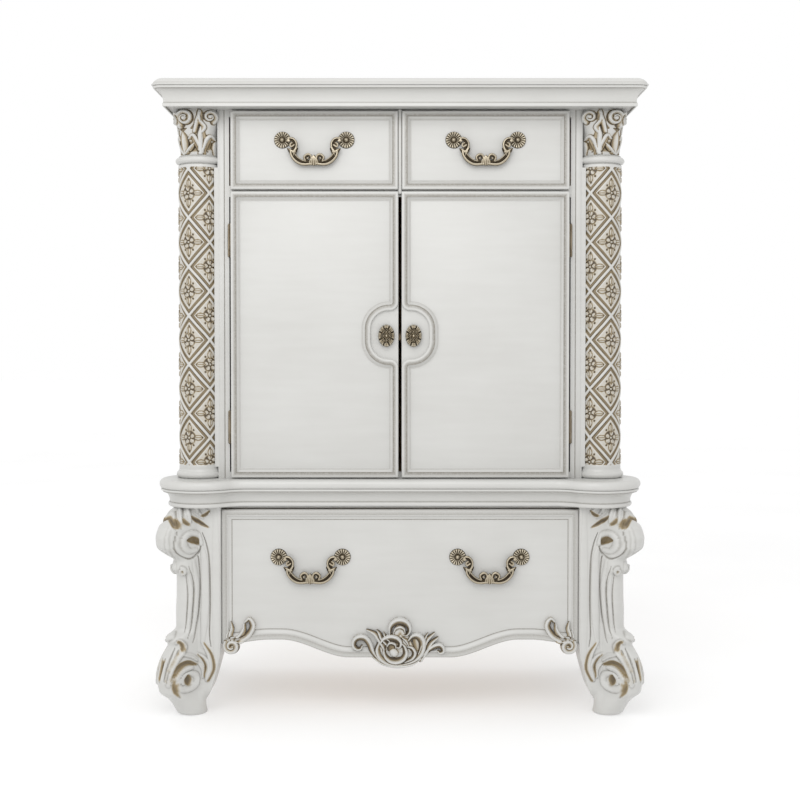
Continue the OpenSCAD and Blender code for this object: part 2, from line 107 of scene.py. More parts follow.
class Side(Enum):
    """The armoire's two mirrored halves."""

    LEFT = -1
    RIGHT = 1

    @property
    def word(self) -> str:
        """The word that piece names carry."""
        return self.name.lower()

    def span(self, near: float, far: float) -> list[float]:
        """Two distances from the middle as a stretch across this half, from left to right."""
        return sorted((self.value * near, self.value * far))


# --- Finishes ---


class NodeBench:
    """Adds and links the nodes of one material."""

    def __init__(self, name: str) -> None:
        """Starts an empty material with that name."""
        self.material = bpy.data.materials.new(name)
        self.material.use_nodes = True
        self.tree = self.material.node_tree
        self.shader = self.tree.nodes["Principled BSDF"]

    def add(self, kind: str, **settings: object) -> bpy.types.Node:
        """Adds a node.

        Args:
            kind: the node's type, without its "ShaderNode" start.
            **settings: properties to set on the node.

        Returns:
            The new node.
        """
        node = self.tree.nodes.new("ShaderNode" + kind)
        for key, value in settings.items():
            setattr(node, key, value)
        return node

    def join(self, source: Socket, target: Socket) -> None:
        """Links one socket to another."""
        self.tree.links.new(source, target)

    def noise(self, scale: float, detail: float, stretch: Sequence[float] = (1, 1, 1)) -> Socket:
        """A noise over the piece's own coordinates.

        Args:
            scale: waves a metre.
            detail: octaves of finer noise.
            stretch: how much finer the noise is along each axis.

        Returns:
            The noise's value, about 0 to 1.
        """
        coords = self.add("TexCoord")
        mapping = self.add("Mapping")
        mapping.inputs["Scale"].default_value = stretch
        tex = self.add("TexNoise")
        tex.inputs["Scale"].default_value = scale
        tex.inputs["Detail"].default_value = detail
        self.join(coords.outputs["Object"], mapping.inputs["Vector"])
        self.join(mapping.outputs["Vector"], tex.inputs["Vector"])
        return tex.outputs["Fac"]

    def attribute(self, name: str) -> Socket:
        """The value of a mesh attribute, 0 where the mesh has none."""
        node = self.add("Attribute", attribute_type="GEOMETRY", attribute_name=name)
        return node.outputs["Fac"]

    def ramp(self, value: Socket, stops: Sequence[tuple[float, Sequence[float]]]) -> Socket:
        """Turns a value into a colour.

        Args:
            value: the socket that is read.
            stops: places along the value, each with a colour.

        Returns:
            The colour.
        """
        node = self.add("ValToRGB")
        elements = node.color_ramp.elements
        while len(elements) < len(stops):
            elements.new(0.5)
        for element, (place, colour) in zip(elements, stops):
            element.position = place
            element.color = (*colour, 1)
        self.join(value, node.inputs["Fac"])
        return node.outputs["Color"]

    def feed(self, socket: Socket, given: object) -> None:
        """Links a socket to another, or sets its value to a number or a colour."""
        if isinstance(given, Socket):
            self.join(given, socket)
        else:
            socket.default_value = (*given, 1) if isinstance(given, tuple) else given

    def surface(self, name: str, given: object) -> None:
        """Sets one of the shader's inputs to a socket or a value."""
        self.feed(self.shader.inputs[name], given)

    def blend(self, amount: object, low: object, high: object) -> Socket:
        """Mixes two colours, each a socket or three numbers."""
        node = self.add("Mix", data_type="RGBA")
        for place, given in ((0, amount), (6, low), (7, high)):
            self.feed(node.inputs[place], given)
        return node.outputs[2]

    def sums(self, operation: str, a: object, b: object, clamp: bool = False) -> Socket:
        """A Math node on two values, each a socket or a number."""
        node = self.add("Math", operation=operation, use_clamp=clamp)
        for socket, given in zip(node.inputs, (a, b)):
            self.feed(socket, given)
        return node.outputs[0]

    def plus(self, a: object, b: object, clamp: bool = False) -> Socket:
        """The sum of two values."""
        return self.sums("ADD", a, b, clamp)

    def times(self, a: object, b: object, clamp: bool = False) -> Socket:
        """The product of two values."""
        return self.sums("MULTIPLY", a, b, clamp)

    def bump(self, height: Socket, strength: float, distance: float) -> None:
        """Roughens the surface with a height."""
        node = self.add("Bump")
        node.inputs["Strength"].default_value = strength
        node.inputs["Distance"].default_value = distance
        self.join(height, node.inputs["Height"])
        self.surface("Normal", node.outputs["Normal"])


@dataclass(frozen=True)
class PearlPaint:
    """Brushed pearl-white paint, with a grey glaze and painted shade in grooves and brown-gold antiquing in
    carving.
    """

    name: str = "pearl_paint"
    light: Colour = (0.545, 0.543, 0.524)
    shade: Colour = (0.515, 0.511, 0.491)
    glaze: Colour = (0.215, 0.20, 0.172)
    wash: Colour = (0.50, 0.455, 0.36)
    gold: Colour = (0.27, 0.205, 0.11)
    umber: Colour = (0.055, 0.038, 0.02)

    def make(self) -> bpy.types.Material:
        """Builds the material."""
        bench = NodeBench(self.name)
        cloud = bench.noise(5.0, 4.0)
        brush = bench.noise(60.0, 3.0, (0.12, 1.0, 1.0))
        mottle = bench.plus(bench.times(cloud, 0.6), bench.times(brush, 0.4))
        paint = bench.ramp(mottle, ((0.36, self.shade), (0.64, self.light)))
        speck = bench.noise(260.0, 2.0)
        # Glaze and painted shade: grooves, hollows and painted seam lines take the grey colour.
        glaze_and_shade_amount = bench.times(bench.attribute("glaze"), bench.plus(speck, 0.45), True)
        glazed_and_shaded = bench.blend(glaze_and_shade_amount, paint, self.glaze)
        # gilt holds brown-gold antiquing, and painted shade in crevices that goes to umber.
        gilt = bench.attribute("gilt")
        gilding = bench.ramp(gilt, ((0.0, self.wash), (0.5, self.gold), (0.92, self.umber)))
        wear = bench.times(bench.sums("SUBTRACT", speck, 0.5), 0.35)
        amount = bench.times(bench.plus(gilt, wear), 2.1, True)
        gate = bench.times(amount, bench.sums("GREATER_THAN", gilt, 0.04))
        bench.surface("Base Color", bench.blend(gate, glazed_and_shaded, gilding))
        rough = bench.plus(bench.times(brush, 0.16), 0.30)
        bench.surface("Roughness", rough)
        bench.surface("Coat Weight", 0.12)
        bench.surface("Coat Roughness", 0.35)
        bench.bump(bench.plus(brush, bench.times(speck, 0.35)), 0.25, 0.0004)
        return bench.material


@dataclass(frozen=True)
class AntiqueBrass:
    """Cast brass, lighter on what stands up, as rubbed wear and a painted highlight, and left dark with
    patina in the recesses.
    """

    name: str = "antique_brass"
    # bright is the colour of raised parts: rubbed brass with a painted highlight.
    bright: Colour = (0.56, 0.50, 0.39)
    body: Colour = (0.215, 0.172, 0.11)
    dark: Colour = (0.035, 0.025, 0.014)

    def make(self) -> bpy.types.Material:
        """Builds the material."""
        bench = NodeBench(self.name)
        grain = bench.noise(420.0, 3.0)
        wear = bench.times(bench.sums("SUBTRACT", grain, 0.5), 0.25)
        recess = bench.plus(bench.attribute("recess"), wear, True)
        colour = bench.ramp(recess, ((0.0, self.bright), (0.42, self.body), (0.9, self.dark)))
        bench.surface("Base Color", colour)
        bench.surface("Metallic", 0.85)
        bench.surface("Roughness", bench.plus(bench.times(grain, 0.2), 0.28))
        bench.bump(grain, 0.2, 0.0003)
        return bench.material


@dataclass(frozen=True)
class CaseWood:
    """Plain lacquered wood of the insides, its grain along one axis."""

    name: str = "interior_wood"
    light: Colour = (0.50, 0.36, 0.21)
    dark: Colour = (0.33, 0.215, 0.115)
    grain: Colour = (0.5, 2.2, 9.0)

    def make(self) -> bpy.types.Material:
        """Builds the material."""
        bench = NodeBench(self.name)
        figure = bench.noise(2.4, 5.0, self.grain)
        pores = bench.noise(42.0, 3.0, self.grain)
        value = bench.plus(bench.times(figure, 0.75), bench.times(pores, 0.25))
        bench.surface("Base Color", bench.ramp(value, ((0.33, self.dark), (0.66, self.light))))
        bench.surface("Roughness", bench.plus(bench.times(pores, 0.2), 0.42))
        bench.bump(pores, 0.3, 0.0004)
        return bench.material


@dataclass(frozen=True)
class HingeSteel:
    """Dull plated steel with fine brushing."""

    name: str = "hinge_steel"
    light: Colour = (0.32, 0.27, 0.20)
    dark: Colour = (0.15, 0.12, 0.08)

    def make(self) -> bpy.types.Material:
        """Builds the material."""
        bench = NodeBench(self.name)
        streak = bench.noise(300.0, 3.0, (1.0, 1.0, 0.08))
        bench.surface("Base Color", bench.ramp(streak, ((0.35, self.dark), (0.65, self.light))))
        bench.surface("Metallic", 0.9)
        bench.surface("Roughness", bench.plus(bench.times(streak, 0.25), 0.3))
        bench.bump(streak, 0.2, 0.0002)
        return bench.material


@dataclass(frozen=True)
class StudioFloor:
    """Pale floor of the studio that glows, lightening the armoire's shadow on it and lighting the armoire
    from below.
    """

    name: str = "studio_floor"
    dark: Colour = (0.56, 0.56, 0.56)
    light: Colour = (0.58, 0.58, 0.58)
    # The floor's emission is painted light: it washes out the shadow cast under the armoire.
    glow: float = 0.40

    def make(self) -> bpy.types.Material:
        """Builds the material."""
        bench = NodeBench(self.name)
        drift = bench.noise(1.5, 2.0)
        bench.surface("Base Color", bench.ramp(drift, ((0.3, self.dark), (0.7, self.light))))
        bench.surface("Roughness", 0.9)
        bench.surface("Emission Color", (1.0, 1.0, 1.0))
        bench.surface("Emission Strength", self.glow)
        return bench.material


class Finishes:
    """The finishes by the record's slot names, each made once."""

    def __init__(self) -> None:
        """Makes every finish."""
        self.paint = PearlPaint().make()
        self.brass = AntiqueBrass().make()
        self.wood = CaseWood().make()
        self.steel = HingeSteel().make()
        self.by_slot = {
            "pearl_paint": self.paint,
            "pearl_carved": self.paint,
            "antique_brass": self.brass,
            "interior_wood": self.wood,
            "hinge_steel": self.steel,
        }

    def dress_cad(self) -> None:
        """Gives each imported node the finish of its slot."""
        for part in frame["record"]["subparts"]:
            node = frame["nodes"][part["node"]]
            node.data.materials.clear()
            node.data.materials.append(self.by_slot[part["material_slot"]])


# --- Mesh making ---


def arc(cx: float, cz: float, rx: float, rz: float, start: float, end: float, steps: int) -> list[Point]:
    """Points along part of an ellipse.

    Args:
        cx: centre, first coordinate.
        cz: centre, second coordinate.
        rx: radius along the first coordinate.
        rz: radius along the second coordinate.
        start: first angle, in degrees.
        end: last angle, in degrees.
        steps: number of stretches between them.

    Returns:
        The points, from start to end.
    """
    turns = [math.radians(start + (end - start) * i / steps) for i in range(steps + 1)]
    return [(cx + rx * math.cos(a), cz + rz * math.sin(a)) for a in turns]


def smooth_path(points: Sequence[Sequence[float]], steps: int) -> Array:
    """A Catmull-Rom curve through points.

    Args:
        points: what the curve passes through, each with any number of coordinates.
        steps: samples on each stretch.

    Returns:
        The samples, one row each.
    """
    given = np.asarray(points, float)
    padded = np.vstack([2 * given[0] - given[1], given, 2 * given[-1] - given[-2]])
    t = np.linspace(0, 1, steps, endpoint=False)[:, None]
    rows = []
    for i in range(len(given) - 1):
        p0, p1, p2, p3 = padded[i : i + 4]
        rows.append(0.5 * (2 * p1 + (p2 - p0) * t + (2 * p0 - 5 * p1 + 4 * p2 - p3) * t**2
                           + (3 * p1 - p0 - 3 * p2 + p3) * t**3))
    return np.vstack(rows + [given[-1:]])


def smoothstep(values: Array, low: float, high: float) -> Array:
    """0 below low, 1 above high and a soft rise between."""
    t = np.clip((values - low) / (high - low), 0, 1)
    return t * t * (3 - 2 * t)


def mitres(path: Array, closed: bool) -> Array:
    """Outward mitre vectors of a plane path whose outside is on its right.

    Args:
        path: the corners, one row each.
        closed: whether the last corner joins the first.

    Returns:
        For each corner, the step that offsets both of its sides by one.
    """
    ahead = np.roll(path, -1, 0) - path
    ahead /= np.maximum(np.linalg.norm(ahead, axis=1, keepdims=True), TINY)
    behind = np.roll(ahead, 1, 0)
    if not closed:
        ahead[-1] = behind[-1]
        behind[0] = ahead[0]
    right = lambda d: np.stack([d[:, 1], -d[:, 0]], 1)
    n0, n1 = right(behind), right(ahead)
    return (n0 + n1) / np.maximum(1 + np.sum(n0 * n1, 1, keepdims=True), 0.2)


def groove_glaze(section: Array, reach: float = 1.15, full: float = 78.0) -> Array:
    """How much glaze and painted shade gathers at each point of a closed section.

    Args:
        section: the outline's points.
        reach: how far a groove's glaze and painted shade spread, in millimetres.
        full: the inward turn, in degrees, that holds all the glaze and shade.

    Returns:
        0 on flats and rounds, up to 1 in grooves.
    """
    ahead = np.roll(section, -1, 0) - section
    heading = np.arctan2(ahead[:, 1], ahead[:, 0])
    turn = (heading - np.roll(heading, 1) + math.pi) % (2 * math.pi) - math.pi
    inward = np.maximum(-turn * np.sign(turn.sum()), 0)
    apart = np.linalg.norm(section[:, None] - section[None], axis=2)
    return np.clip(np.exp(-((apart / reach) ** 2)) @ inward / math.radians(full), 0, 1)


class Workshop:
    """Makes meshes with Blender's own operators."""

    def __init__(self, finishes: Finishes) -> None:
        """Keeps the finishes for dressing what is made."""
        self.finishes = finishes
        self.count = 0

    @staticmethod
    def only(obj: Piece) -> None:
        """Makes obj the only selected object, and the active one."""
        bpy.ops.object.select_all(action="DESELECT")
        obj.select_set(True)
        bpy.context.view_layer.objects.active = obj

    @staticmethod
    def added(name: str) -> Piece:
        """The object that an operator has just added, named and without UV layers."""
        obj = bpy.context.object
        obj.name = obj.data.name = name
        for layer in list(obj.data.uv_layers):
            obj.data.uv_layers.remove(layer)
        return obj

    @staticmethod
    def mark(obj: Piece, key: str, values: Array) -> None:
        """Keeps a number for each vertex of obj."""
        layer = obj.data.attributes.new(key, "FLOAT", "POINT")
        layer.data.foreach_set("value", np.asarray(values, np.float32).ravel())

    @staticmethod
    def places(obj: Piece) -> Array:
        """Where the vertices of obj are, one row each, in metres."""
        values = np.empty(len(obj.data.vertices) * 3, np.float32)
        obj.data.vertices.foreach_get("co", values)
        return values.reshape(-1, 3)

    @contextmanager
    def editing(self, obj: Piece, choice: str = "SELECT") -> Iterator[None]:
        """Keeps obj in edit mode with its whole mesh selected, or with nothing selected."""
        self.only(obj)
        bpy.ops.object.mode_set(mode="EDIT")
        bpy.ops.mesh.select_all(action=choice)
        yield
        bpy.ops.object.mode_set(mode="OBJECT")

    def sheet(self, name: str, places: Array, marks: dict[str, Array] | None = None) -> Piece:
        """Adds a grid and moves its vertices to places.

        Args:
            name: the object's name.
            places: rows x columns x 3, in millimetres.
            marks: attribute values, each rows x columns.

        Returns:
            The grid object.
        """
        rows, cols = places.shape[:2]
        bpy.ops.object.select_all(action="DESELECT")
        bpy.ops.mesh.primitive_grid_add(x_subdivisions=cols - 1, y_subdivisions=rows - 1, size=1)
        obj = self.added(name)
        obj.data.vertices.foreach_set("co", (places.reshape(-1, 3) * MM).ravel())
        for key, values in (marks or {}).items():
            self.mark(obj, key, values)
        obj.data.update()
        return obj

    def close(self, obj: Piece, fill: bool = True) -> None:
        """Merges the seams of obj, fills its open ends where fill is set, and points its faces outwards."""
        with self.editing(obj):
            bpy.ops.mesh.remove_doubles(threshold=WELD)
            if fill:
                bpy.ops.mesh.fill_holes(sides=0)
                bpy.ops.mesh.select_all(action="SELECT")
            bpy.ops.mesh.normals_make_consistent(inside=False)

    def shell(self, name: str, places: Array, marks: dict[str, Array] | None = None, angle: float = 60.0,
              fill: bool = True) -> Piece:
        """A sheet that is closed and smoothed: its arguments are those of sheet, close and smooth."""
        obj = self.sheet(name, places, marks)
        self.close(obj, fill)
        self.smooth(obj, angle)
        return obj

    def smooth(self, obj: Piece, angle: float = 40.0) -> None:
        """Shades obj smooth, apart from edges sharper than an angle in degrees."""
        self.only(obj)
        bpy.ops.object.shade_smooth_by_angle(angle=math.radians(angle))

    def apply(self, obj: Piece, kind: str, **settings: object) -> None:
        """Adds a modifier and applies it."""
        self.only(obj)
        modifier = obj.modifiers.new(kind.title(), kind)
        for key, value in settings.items():
            setattr(modifier, key, value)
        bpy.ops.object.modifier_apply(modifier=modifier.name)

    def join(self, name: str, pieces: Sequence[Piece]) -> Piece:
        """Joins mesh objects into the first, which takes the name."""
        bpy.ops.object.select_all(action="DESELECT")
        for piece in pieces:
            piece.select_set(True)
        bpy.context.view_layer.objects.active = pieces[0]
        if len(pieces) > 1:
            bpy.ops.object.join()
        pieces[0].name = pieces[0].data.name = name
        return pieces[0]

    def copied(self, obj: Piece, name: str, change: Callable[[Array], Array]) -> Piece:
        """A copy of obj with a mesh of its own, whose places are changed."""
        twin = obj.copy()
        twin.data = obj.data.copy()
        twin.name = twin.data.name = name
        bpy.context.collection.objects.link(twin)
        twin.data.vertices.foreach_set("co", change(self.places(twin)).ravel())
        twin.data.update()
        return twin

    def mirrored(self, obj: Piece, name: str) -> Piece:
        """A copy of obj on the armoire's other half, with its faces turned back."""
        twin = self.copied(obj, name, lambda places: places * np.array([-1, 1, 1], np.float32))
        with self.editing(twin):
            bpy.ops.mesh.flip_normals()
        return twin

    def shifted(self, obj: Piece, name: str, move: Sequence[float]) -> Piece:
        """A copy of obj, moved by millimetres."""
        return self.copied(obj, name, lambda places: places + np.asarray(move, np.float32) * MM)

    def sweep(self, name: str, path: Array | Callable[[float], Array], profile: Sequence[Point],
              lift: Callable[[Array, Array], Array],
              closed: bool = False) -> Piece:
        """Carries a moulding's section along a plane path, with mitred corners.

        Args:
            name: the object's name.
            path: the path's corners in its plane, in millimetres, or what gives them for an inset.
            profile: the section's closed outline as (outward, up) points.
            lift: turns plane points and heights into places in space.
            closed: whether the path is a loop.

        Returns:
            The moulding.
        """
        section = np.asarray(profile, float)
        # Grooves of the section darken with glaze and painted shade.
        marks = groove_glaze(section)
        section = np.vstack([section, section[:1]])
        marks = np.append(marks, marks[0])
        if callable(path):
            plane = np.stack([path(-out) for out in section[:, 0]], 1)
        else:
            steps = mitres(path, closed)
            if closed:
                path, steps = np.vstack([path, path[:1]]), np.vstack([steps, steps[:1]])
            plane = path[:, None, :] + steps[:, None, :] * section[None, :, :1]
        heights = np.broadcast_to(section[None, :, 1], plane.shape[:2])
        glaze = {"glaze": np.broadcast_to(marks, plane.shape[:2])}
        return self.shell(name, lift(plane, heights), glaze, 40, not closed)

    def slab(self, name: str, low: Sequence[float], high: Sequence[float], glaze: float = 0.0) -> Piece:
        """A flat box between two corners, marked evenly with glaze and painted shade."""
        bpy.ops.object.select_all(action="DESELECT")
        bpy.ops.mesh.primitive_cube_add(size=1)
        obj = self.added(name)
        corners = np.array([v.co[:] for v in obj.data.vertices]) + 0.5
        places = (np.asarray(low) + corners * (np.asarray(high) - np.asarray(low))) * MM
        obj.data.vertices.foreach_set("co", places.ravel())
        self.mark(obj, "glaze", np.full(8, glaze))
        return obj

    def board(self, name: str, low: Sequence[float], high: Sequence[float], width: float,
              segments: int) -> Piece:
        """A slab whose edges are rounded over a width in millimetres."""
        obj = self.slab(name, low, high)
        self.apply(obj, "BEVEL", width=width * MM, segments=segments)
        self.smooth(obj, BOARD_ANGLE)
        return obj

    def carved(self, name: str, strokes: Sequence[Stroke], pitch: float, origin: Sequence[float], lift: float,
               both: bool = False) -> Piece:
        """Cuts a carved piece whose outline is that of its strokes.

        Args:
            name: the object's name.
            strokes: the carving, as (across, up) from the origin.
            pitch: distance between samples, in millimetres.
            origin: where the drawing's zero stands, in millimetres.
            lift: how far the piece's lowest edge stands off the origin's plane.
            both: whether the back is carved like the front, instead of flat on the origin's plane.

        Returns:
            The piece, with how deep its hollows are as "gilt" and "recess".
        """
        spots = np.vstack([np.asarray(stroke.path) for stroke in strokes])
        margin = max(max(stroke.width) for stroke in strokes) + 1
        low, high = spots.min(0) - margin, spots.max(0) + margin
        x, z = np.meshgrid(np.arange(low[0], high[0], pitch), np.arange(low[1], high[1], pitch))
        relief = Relief(x, z)
        relief.add(strokes)
        height, gilt, inside = relief.grids()
        places = np.stack([origin[0] + x, origin[1] - lift - np.maximum(height, 0), origin[2] + z], -1)
        # Raised places get little recess and take the light brass colour, as rubbed wear and a painted
        # highlight; low places get patina.
        recess = np.clip(0.14 + gilt + 0.9 * (1 - smoothstep(height, 0.6, 3.4)), 0, 1)
        obj = self.sheet(name, places, {"gilt": gilt, "recess": recess})
        with self.editing(obj, "DESELECT"):
            bpy.ops.mesh.select_mode(type="VERT")
        obj.data.vertices.foreach_set("select", (inside <= 0).ravel())
        bpy.ops.object.mode_set(mode="EDIT")
        bpy.ops.mesh.delete(type="VERT")
        bpy.ops.object.mode_set(mode="OBJECT")
        count = len(obj.data.vertices)
        self.apply(obj, "SOLIDIFY", thickness=0.5 * MM, offset=-1)
        spot = self.places(obj)
        spot[count:] = spot[:count]
        spot[count:, 1] = 2 * origin[1] * MM - spot[:count, 1] if both else origin[1] * MM
        obj.data.vertices.foreach_set("co", spot.ravel())
        self.close(obj, fill=False)
        self.smooth(obj, 70)
        return obj

    def turned(self, name: str, centre: Sequence[float], heights: Callable[[Array, Array], Array],
               radii: Array,
               steps: int, squash: float = 1.0, patina: float = 0.88) -> Piece:
        """A round piece standing on a front face.

        Args:
            name: the object's name.
            centre: the middle of its foot, in millimetres.
            heights: gives the height over the foot for radii and angles.
            radii: the radii that are sampled, from the middle out.
            steps: samples round it.
            squash: how much taller than wide it is.
            patina: how dark its even places are.

        Returns:
            The piece, with its low places marked as "recess".
        """
        turn = np.linspace(0, 2 * math.pi, steps + 1)
        angle, radius = np.meshgrid(turn, radii)
        height = heights(radius, angle)
        height[:, -1] = height[:, 0]
        x, z = centre[0] + radius * np.cos(angle), centre[2] + squash * radius * np.sin(angle)
        places = np.stack([x, centre[1] - height, z], -1)
        places[:, -1] = places[:, 0]
        around = sum(np.roll(height[:, :-1], k, 1) for k in range(-3, 4)) / 7
        around = sum(np.pad(around, ((2, 2), (0, 0)), "edge")[k : k + len(radii)] for k in range(5)) / 5
        # Hollows darken as patina; higher places lighten, as rubbed wear and a painted highlight.
        low = np.clip(patina + (around - height[:, :-1]) * 1.1 - 0.06 * height[:, :-1], 0, 1)
        return self.shell(name, places, {"recess": np.hstack([low, low[:, :1]])})

    def hand_over(self, obj: Piece, body: str, slot: str, *nodes: str) -> Piece:
        """Dresses a finished piece and puts it on its body.

        Args:
            obj: the piece.
            body: the body that it rides on.
            slot: the record's slot of its finish.
            *nodes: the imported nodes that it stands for.

        Returns:
            The piece.
        """
        obj.data.materials.clear()
        obj.data.materials.append(self.finishes.by_slot[slot])
        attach(obj, body)
        if nodes:
            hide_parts(*nodes)
        self.count += 1
        LOG.info("piece %d: %s on %s, %d faces", self.count, obj.name, body, len(obj.data.polygons))
        return obj

    def hand_over_pair(self, right: Piece, node: str) -> None:
        """Hands over a right-hand carving of the carcass and its mirrored twin.

        Args:
            right: the right-hand piece, with "right" in its name.
            node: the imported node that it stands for, with "right" in its name.
        """
        left = self.mirrored(right, right.name.replace("right", "left"))
        self.hand_over(right, "carcass", "pearl_carved", node)
        self.hand_over(left, "carcass", "pearl_carved", node.replace("right", "left"))


def on_plan(z: float) -> Callable[[Array, Array], Array]:
    """Places for a path seen from above: plane is (x, y), height stands above z."""
    return lambda plane, heights: np.concatenate([plane, heights[..., None] + z], -1)


def on_front(y: float) -> Callable[[Array, Array], Array]:
    """Places for a path seen from the front: plane is (x, z), height stands forward of y."""
    return lambda plane, heights: np.stack([plane[..., 0], y - heights, plane[..., 1]], -1)


def box_mm(node: str) -> tuple[Array, Array]:
    """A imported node's lowest and highest corners, in millimetres."""
    low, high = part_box(node)
    return np.array(low) * 1000, np.array(high) * 1000


# --- Carving ---


@dataclass(frozen=True)
class Stroke:
    """One carved leaf, scroll or groove: a path in millimetres with a width and a height along it.

    Attributes:
        path: what the stroke's middle passes through.
        width: half its width, spread evenly along the path.
        height: how high it stands, or how deep it cuts where negative, spread the same way.
        hollow: depth of the hollow along it, as a share of its height.
        lean: where the hollow lies across it, from -1 to 1.
        gilt: how much brown-gold the hollow holds.
        rim: how much brown-gold its foot holds.
    """

    path: Sequence[Point]
    width: Sequence[float]
    height: Sequence[float]
    hollow: float = 0.5
    lean: float = 0.25
    gilt: float = 0.55
    rim: float = 0.0

    def turned(self, flip: float = 1.0, move: Point = (0.0, 0.0), size: float = 1.0) -> Stroke:
        """A copy of the stroke, mirrored where flip is -1, scaled and moved."""
        path = [(flip * x * size + move[0], z * size + move[1]) for x, z in self.path]
        return Stroke(path, [w * size for w in self.width], [h * size for h in self.height], self.hollow,
                      self.lean * flip, self.gilt, self.rim)


def blurred(values: Array, reach: int) -> Array:
    """Averages of a grid's values over squares of samples."""
    for axis in (0, 1):
        pad = [(0, 0), (0, 0)]
        pad[axis] = (reach, reach)
        wide = np.pad(values, pad, "edge")
        count = values.shape[axis]
        values = sum(np.take(wide, range(k, k + count), axis) for k in range(2 * reach + 1)) / (2 * reach + 1)
    return values


class Relief:
    """Heights and gilding over a set of plane points, built up stroke by stroke."""

    def __init__(self, x: Array, z: Array) -> None:
        """Starts flat over the points (x, z), in millimetres."""
        self.x, self.z = x.ravel(), z.ravel()
        self.shape = x.shape
        self.height = np.zeros(self.x.size)
        self.gilt = np.zeros(self.x.size)
        self.inside = np.full(self.x.size, -1e3)

    def _measure(self, path: Array, reach: float) -> tuple[Array, Array, Array, Array]:
        """Points near a path, with their distance from it, their side of it and their place along it."""
        low, high = path.min(0) - reach, path.max(0) + reach
        near = np.flatnonzero((self.x > low[0]) & (self.x < high[0]) & (self.z > low[1]) & (self.z < high[1]))
        px, pz = self.x[near], self.z[near]
        best = np.full(near.size, 1e9)
        side = np.zeros(near.size)
        along = np.zeros(near.size)
        for i in range(len(path) - 1):
            ax, az = path[i]
            bx, bz = path[i + 1] - path[i]
            length2 = bx * bx + bz * bz + 1e-12
            t = np.clip(((px - ax) * bx + (pz - az) * bz) / length2, 0, 1)
            dx, dz = px - ax - t * bx, pz - az - t * bz
            d = dx * dx + dz * dz
            closer = d < best
            best = np.where(closer, d, best)
            side = np.where(closer, np.sign(bx * dz - bz * dx), side)
            along = np.where(closer, (i + t) / (len(path) - 1), along)
        return near, np.sqrt(best), side, along

    def add(self, strokes: Iterable[Stroke], lift: float = 0.0) -> None:
        """Lays strokes over the relief, each over those before it where it stands higher.

        Args:
            strokes: the strokes.
            lift: height added under each of them.
        """
        for stroke in strokes:
            steps = 8 if len(stroke.path) > 2 else 2
            path = smooth_path(stroke.path, steps)
            near, dist, side, along = self._measure(path, max(stroke.width) + 1)
            if not near.size:
                continue
            spread = np.linspace(0, 1, len(stroke.width))
            width = np.interp(along, spread, stroke.width)
            height = np.interp(along, np.linspace(0, 1, len(stroke.height)), stroke.height)
            across = dist / np.maximum(width, 0.2)
            round_top = np.sqrt(np.clip(1 - across**2, 0, 1))
            signed = across * side
            taken = np.diff(path, axis=0)
            heading = np.unwrap(np.arctan2(taken[:, 1], taken[:, 0]))
            bend = heading[-1] - heading[0]
            inner = np.sign(bend) if abs(bend) > 1.0 else (1.0 if stroke.lean >= 0 else -1.0)
            groove = np.exp(-((signed - 0.38 * inner) / 0.42) ** 2)
            self.inside[near] = np.maximum(self.inside[near], width - dist)
            shown = across < 1
            if min(stroke.height) < 0:
                self.height[near] += np.where(shown, height * (1 - smoothstep(across, 0.35, 1.0)), 0)
                paint = np.where(shown, stroke.gilt * (1 - smoothstep(across, 0.5, 1.0)), 0)
                self.gilt[near] = np.maximum(self.gilt[near], paint)
                continue
            value = lift + height * (round_top**0.8 - stroke.hollow * groove)
            over = shown & (value > self.height[near])
            self.height[near] = np.where(over, value, self.height[near])
            slope = smoothstep(signed * inner, -0.2, 1.0)
            paint = stroke.gilt * (0.10 + 1.15 * slope) * smoothstep(signed * inner, -0.35, 0.05)
            paint += stroke.rim * smoothstep(across, 0.8, 1.0)
            self.gilt[near] = np.where(over, paint, self.gilt[near])

    def grids(self, reach: int = 3, depth: float = 1.6) -> tuple[Array, Array, Array]:
        """Height, gilding and inside distance, in the shape of the points.

        Args:
            reach: how many samples away the surroundings are compared with.
            depth: how much lower than its surroundings a crevice lies when it is fully darkened, in
                millimetres.

        Returns:
            The three grids; crevices between strokes are darkened towards umber, as antiquing and painted
            shade.
        """
        height, gilt = self.height.reshape(self.shape), self.gilt.reshape(self.shape)
        # Painted shade with the antiquing: the deeper a place lies below its surroundings, the darker its
        # colour, up to umber.
        crevice = np.clip((blurred(height, reach) - height) / depth, 0, 1)
        gilt = np.maximum(gilt, 0.95 * smoothstep(crevice, 0.22, 1.0))
        return height, gilt, self.inside.reshape(self.shape)


def spiral(cx: float, cz: float, outer: float, inner: float, start: float, turns: float,
           steps: int = 14) -> list[Point]:
    """Points along a spiral that closes in on (cx, cz).

    Args:
        cx: centre, first coordinate.
        cz: centre, second coordinate.
        outer: first radius.
        inner: last radius.
        start: first angle, in degrees.
        turns: how many times it goes round; negative is clockwise.
        steps: number of points.

    Returns:
        The points, from the outside in.
    """
    points = []
    for i in range(steps):
        t = i / (steps - 1)
        radius = outer + (inner - outer) * t**0.8
        angle = math.radians(start + 360 * turns * t)
        points.append((cx + radius * math.cos(angle), cz + radius * math.sin(angle)))
    return points


# --- Case mouldings ---


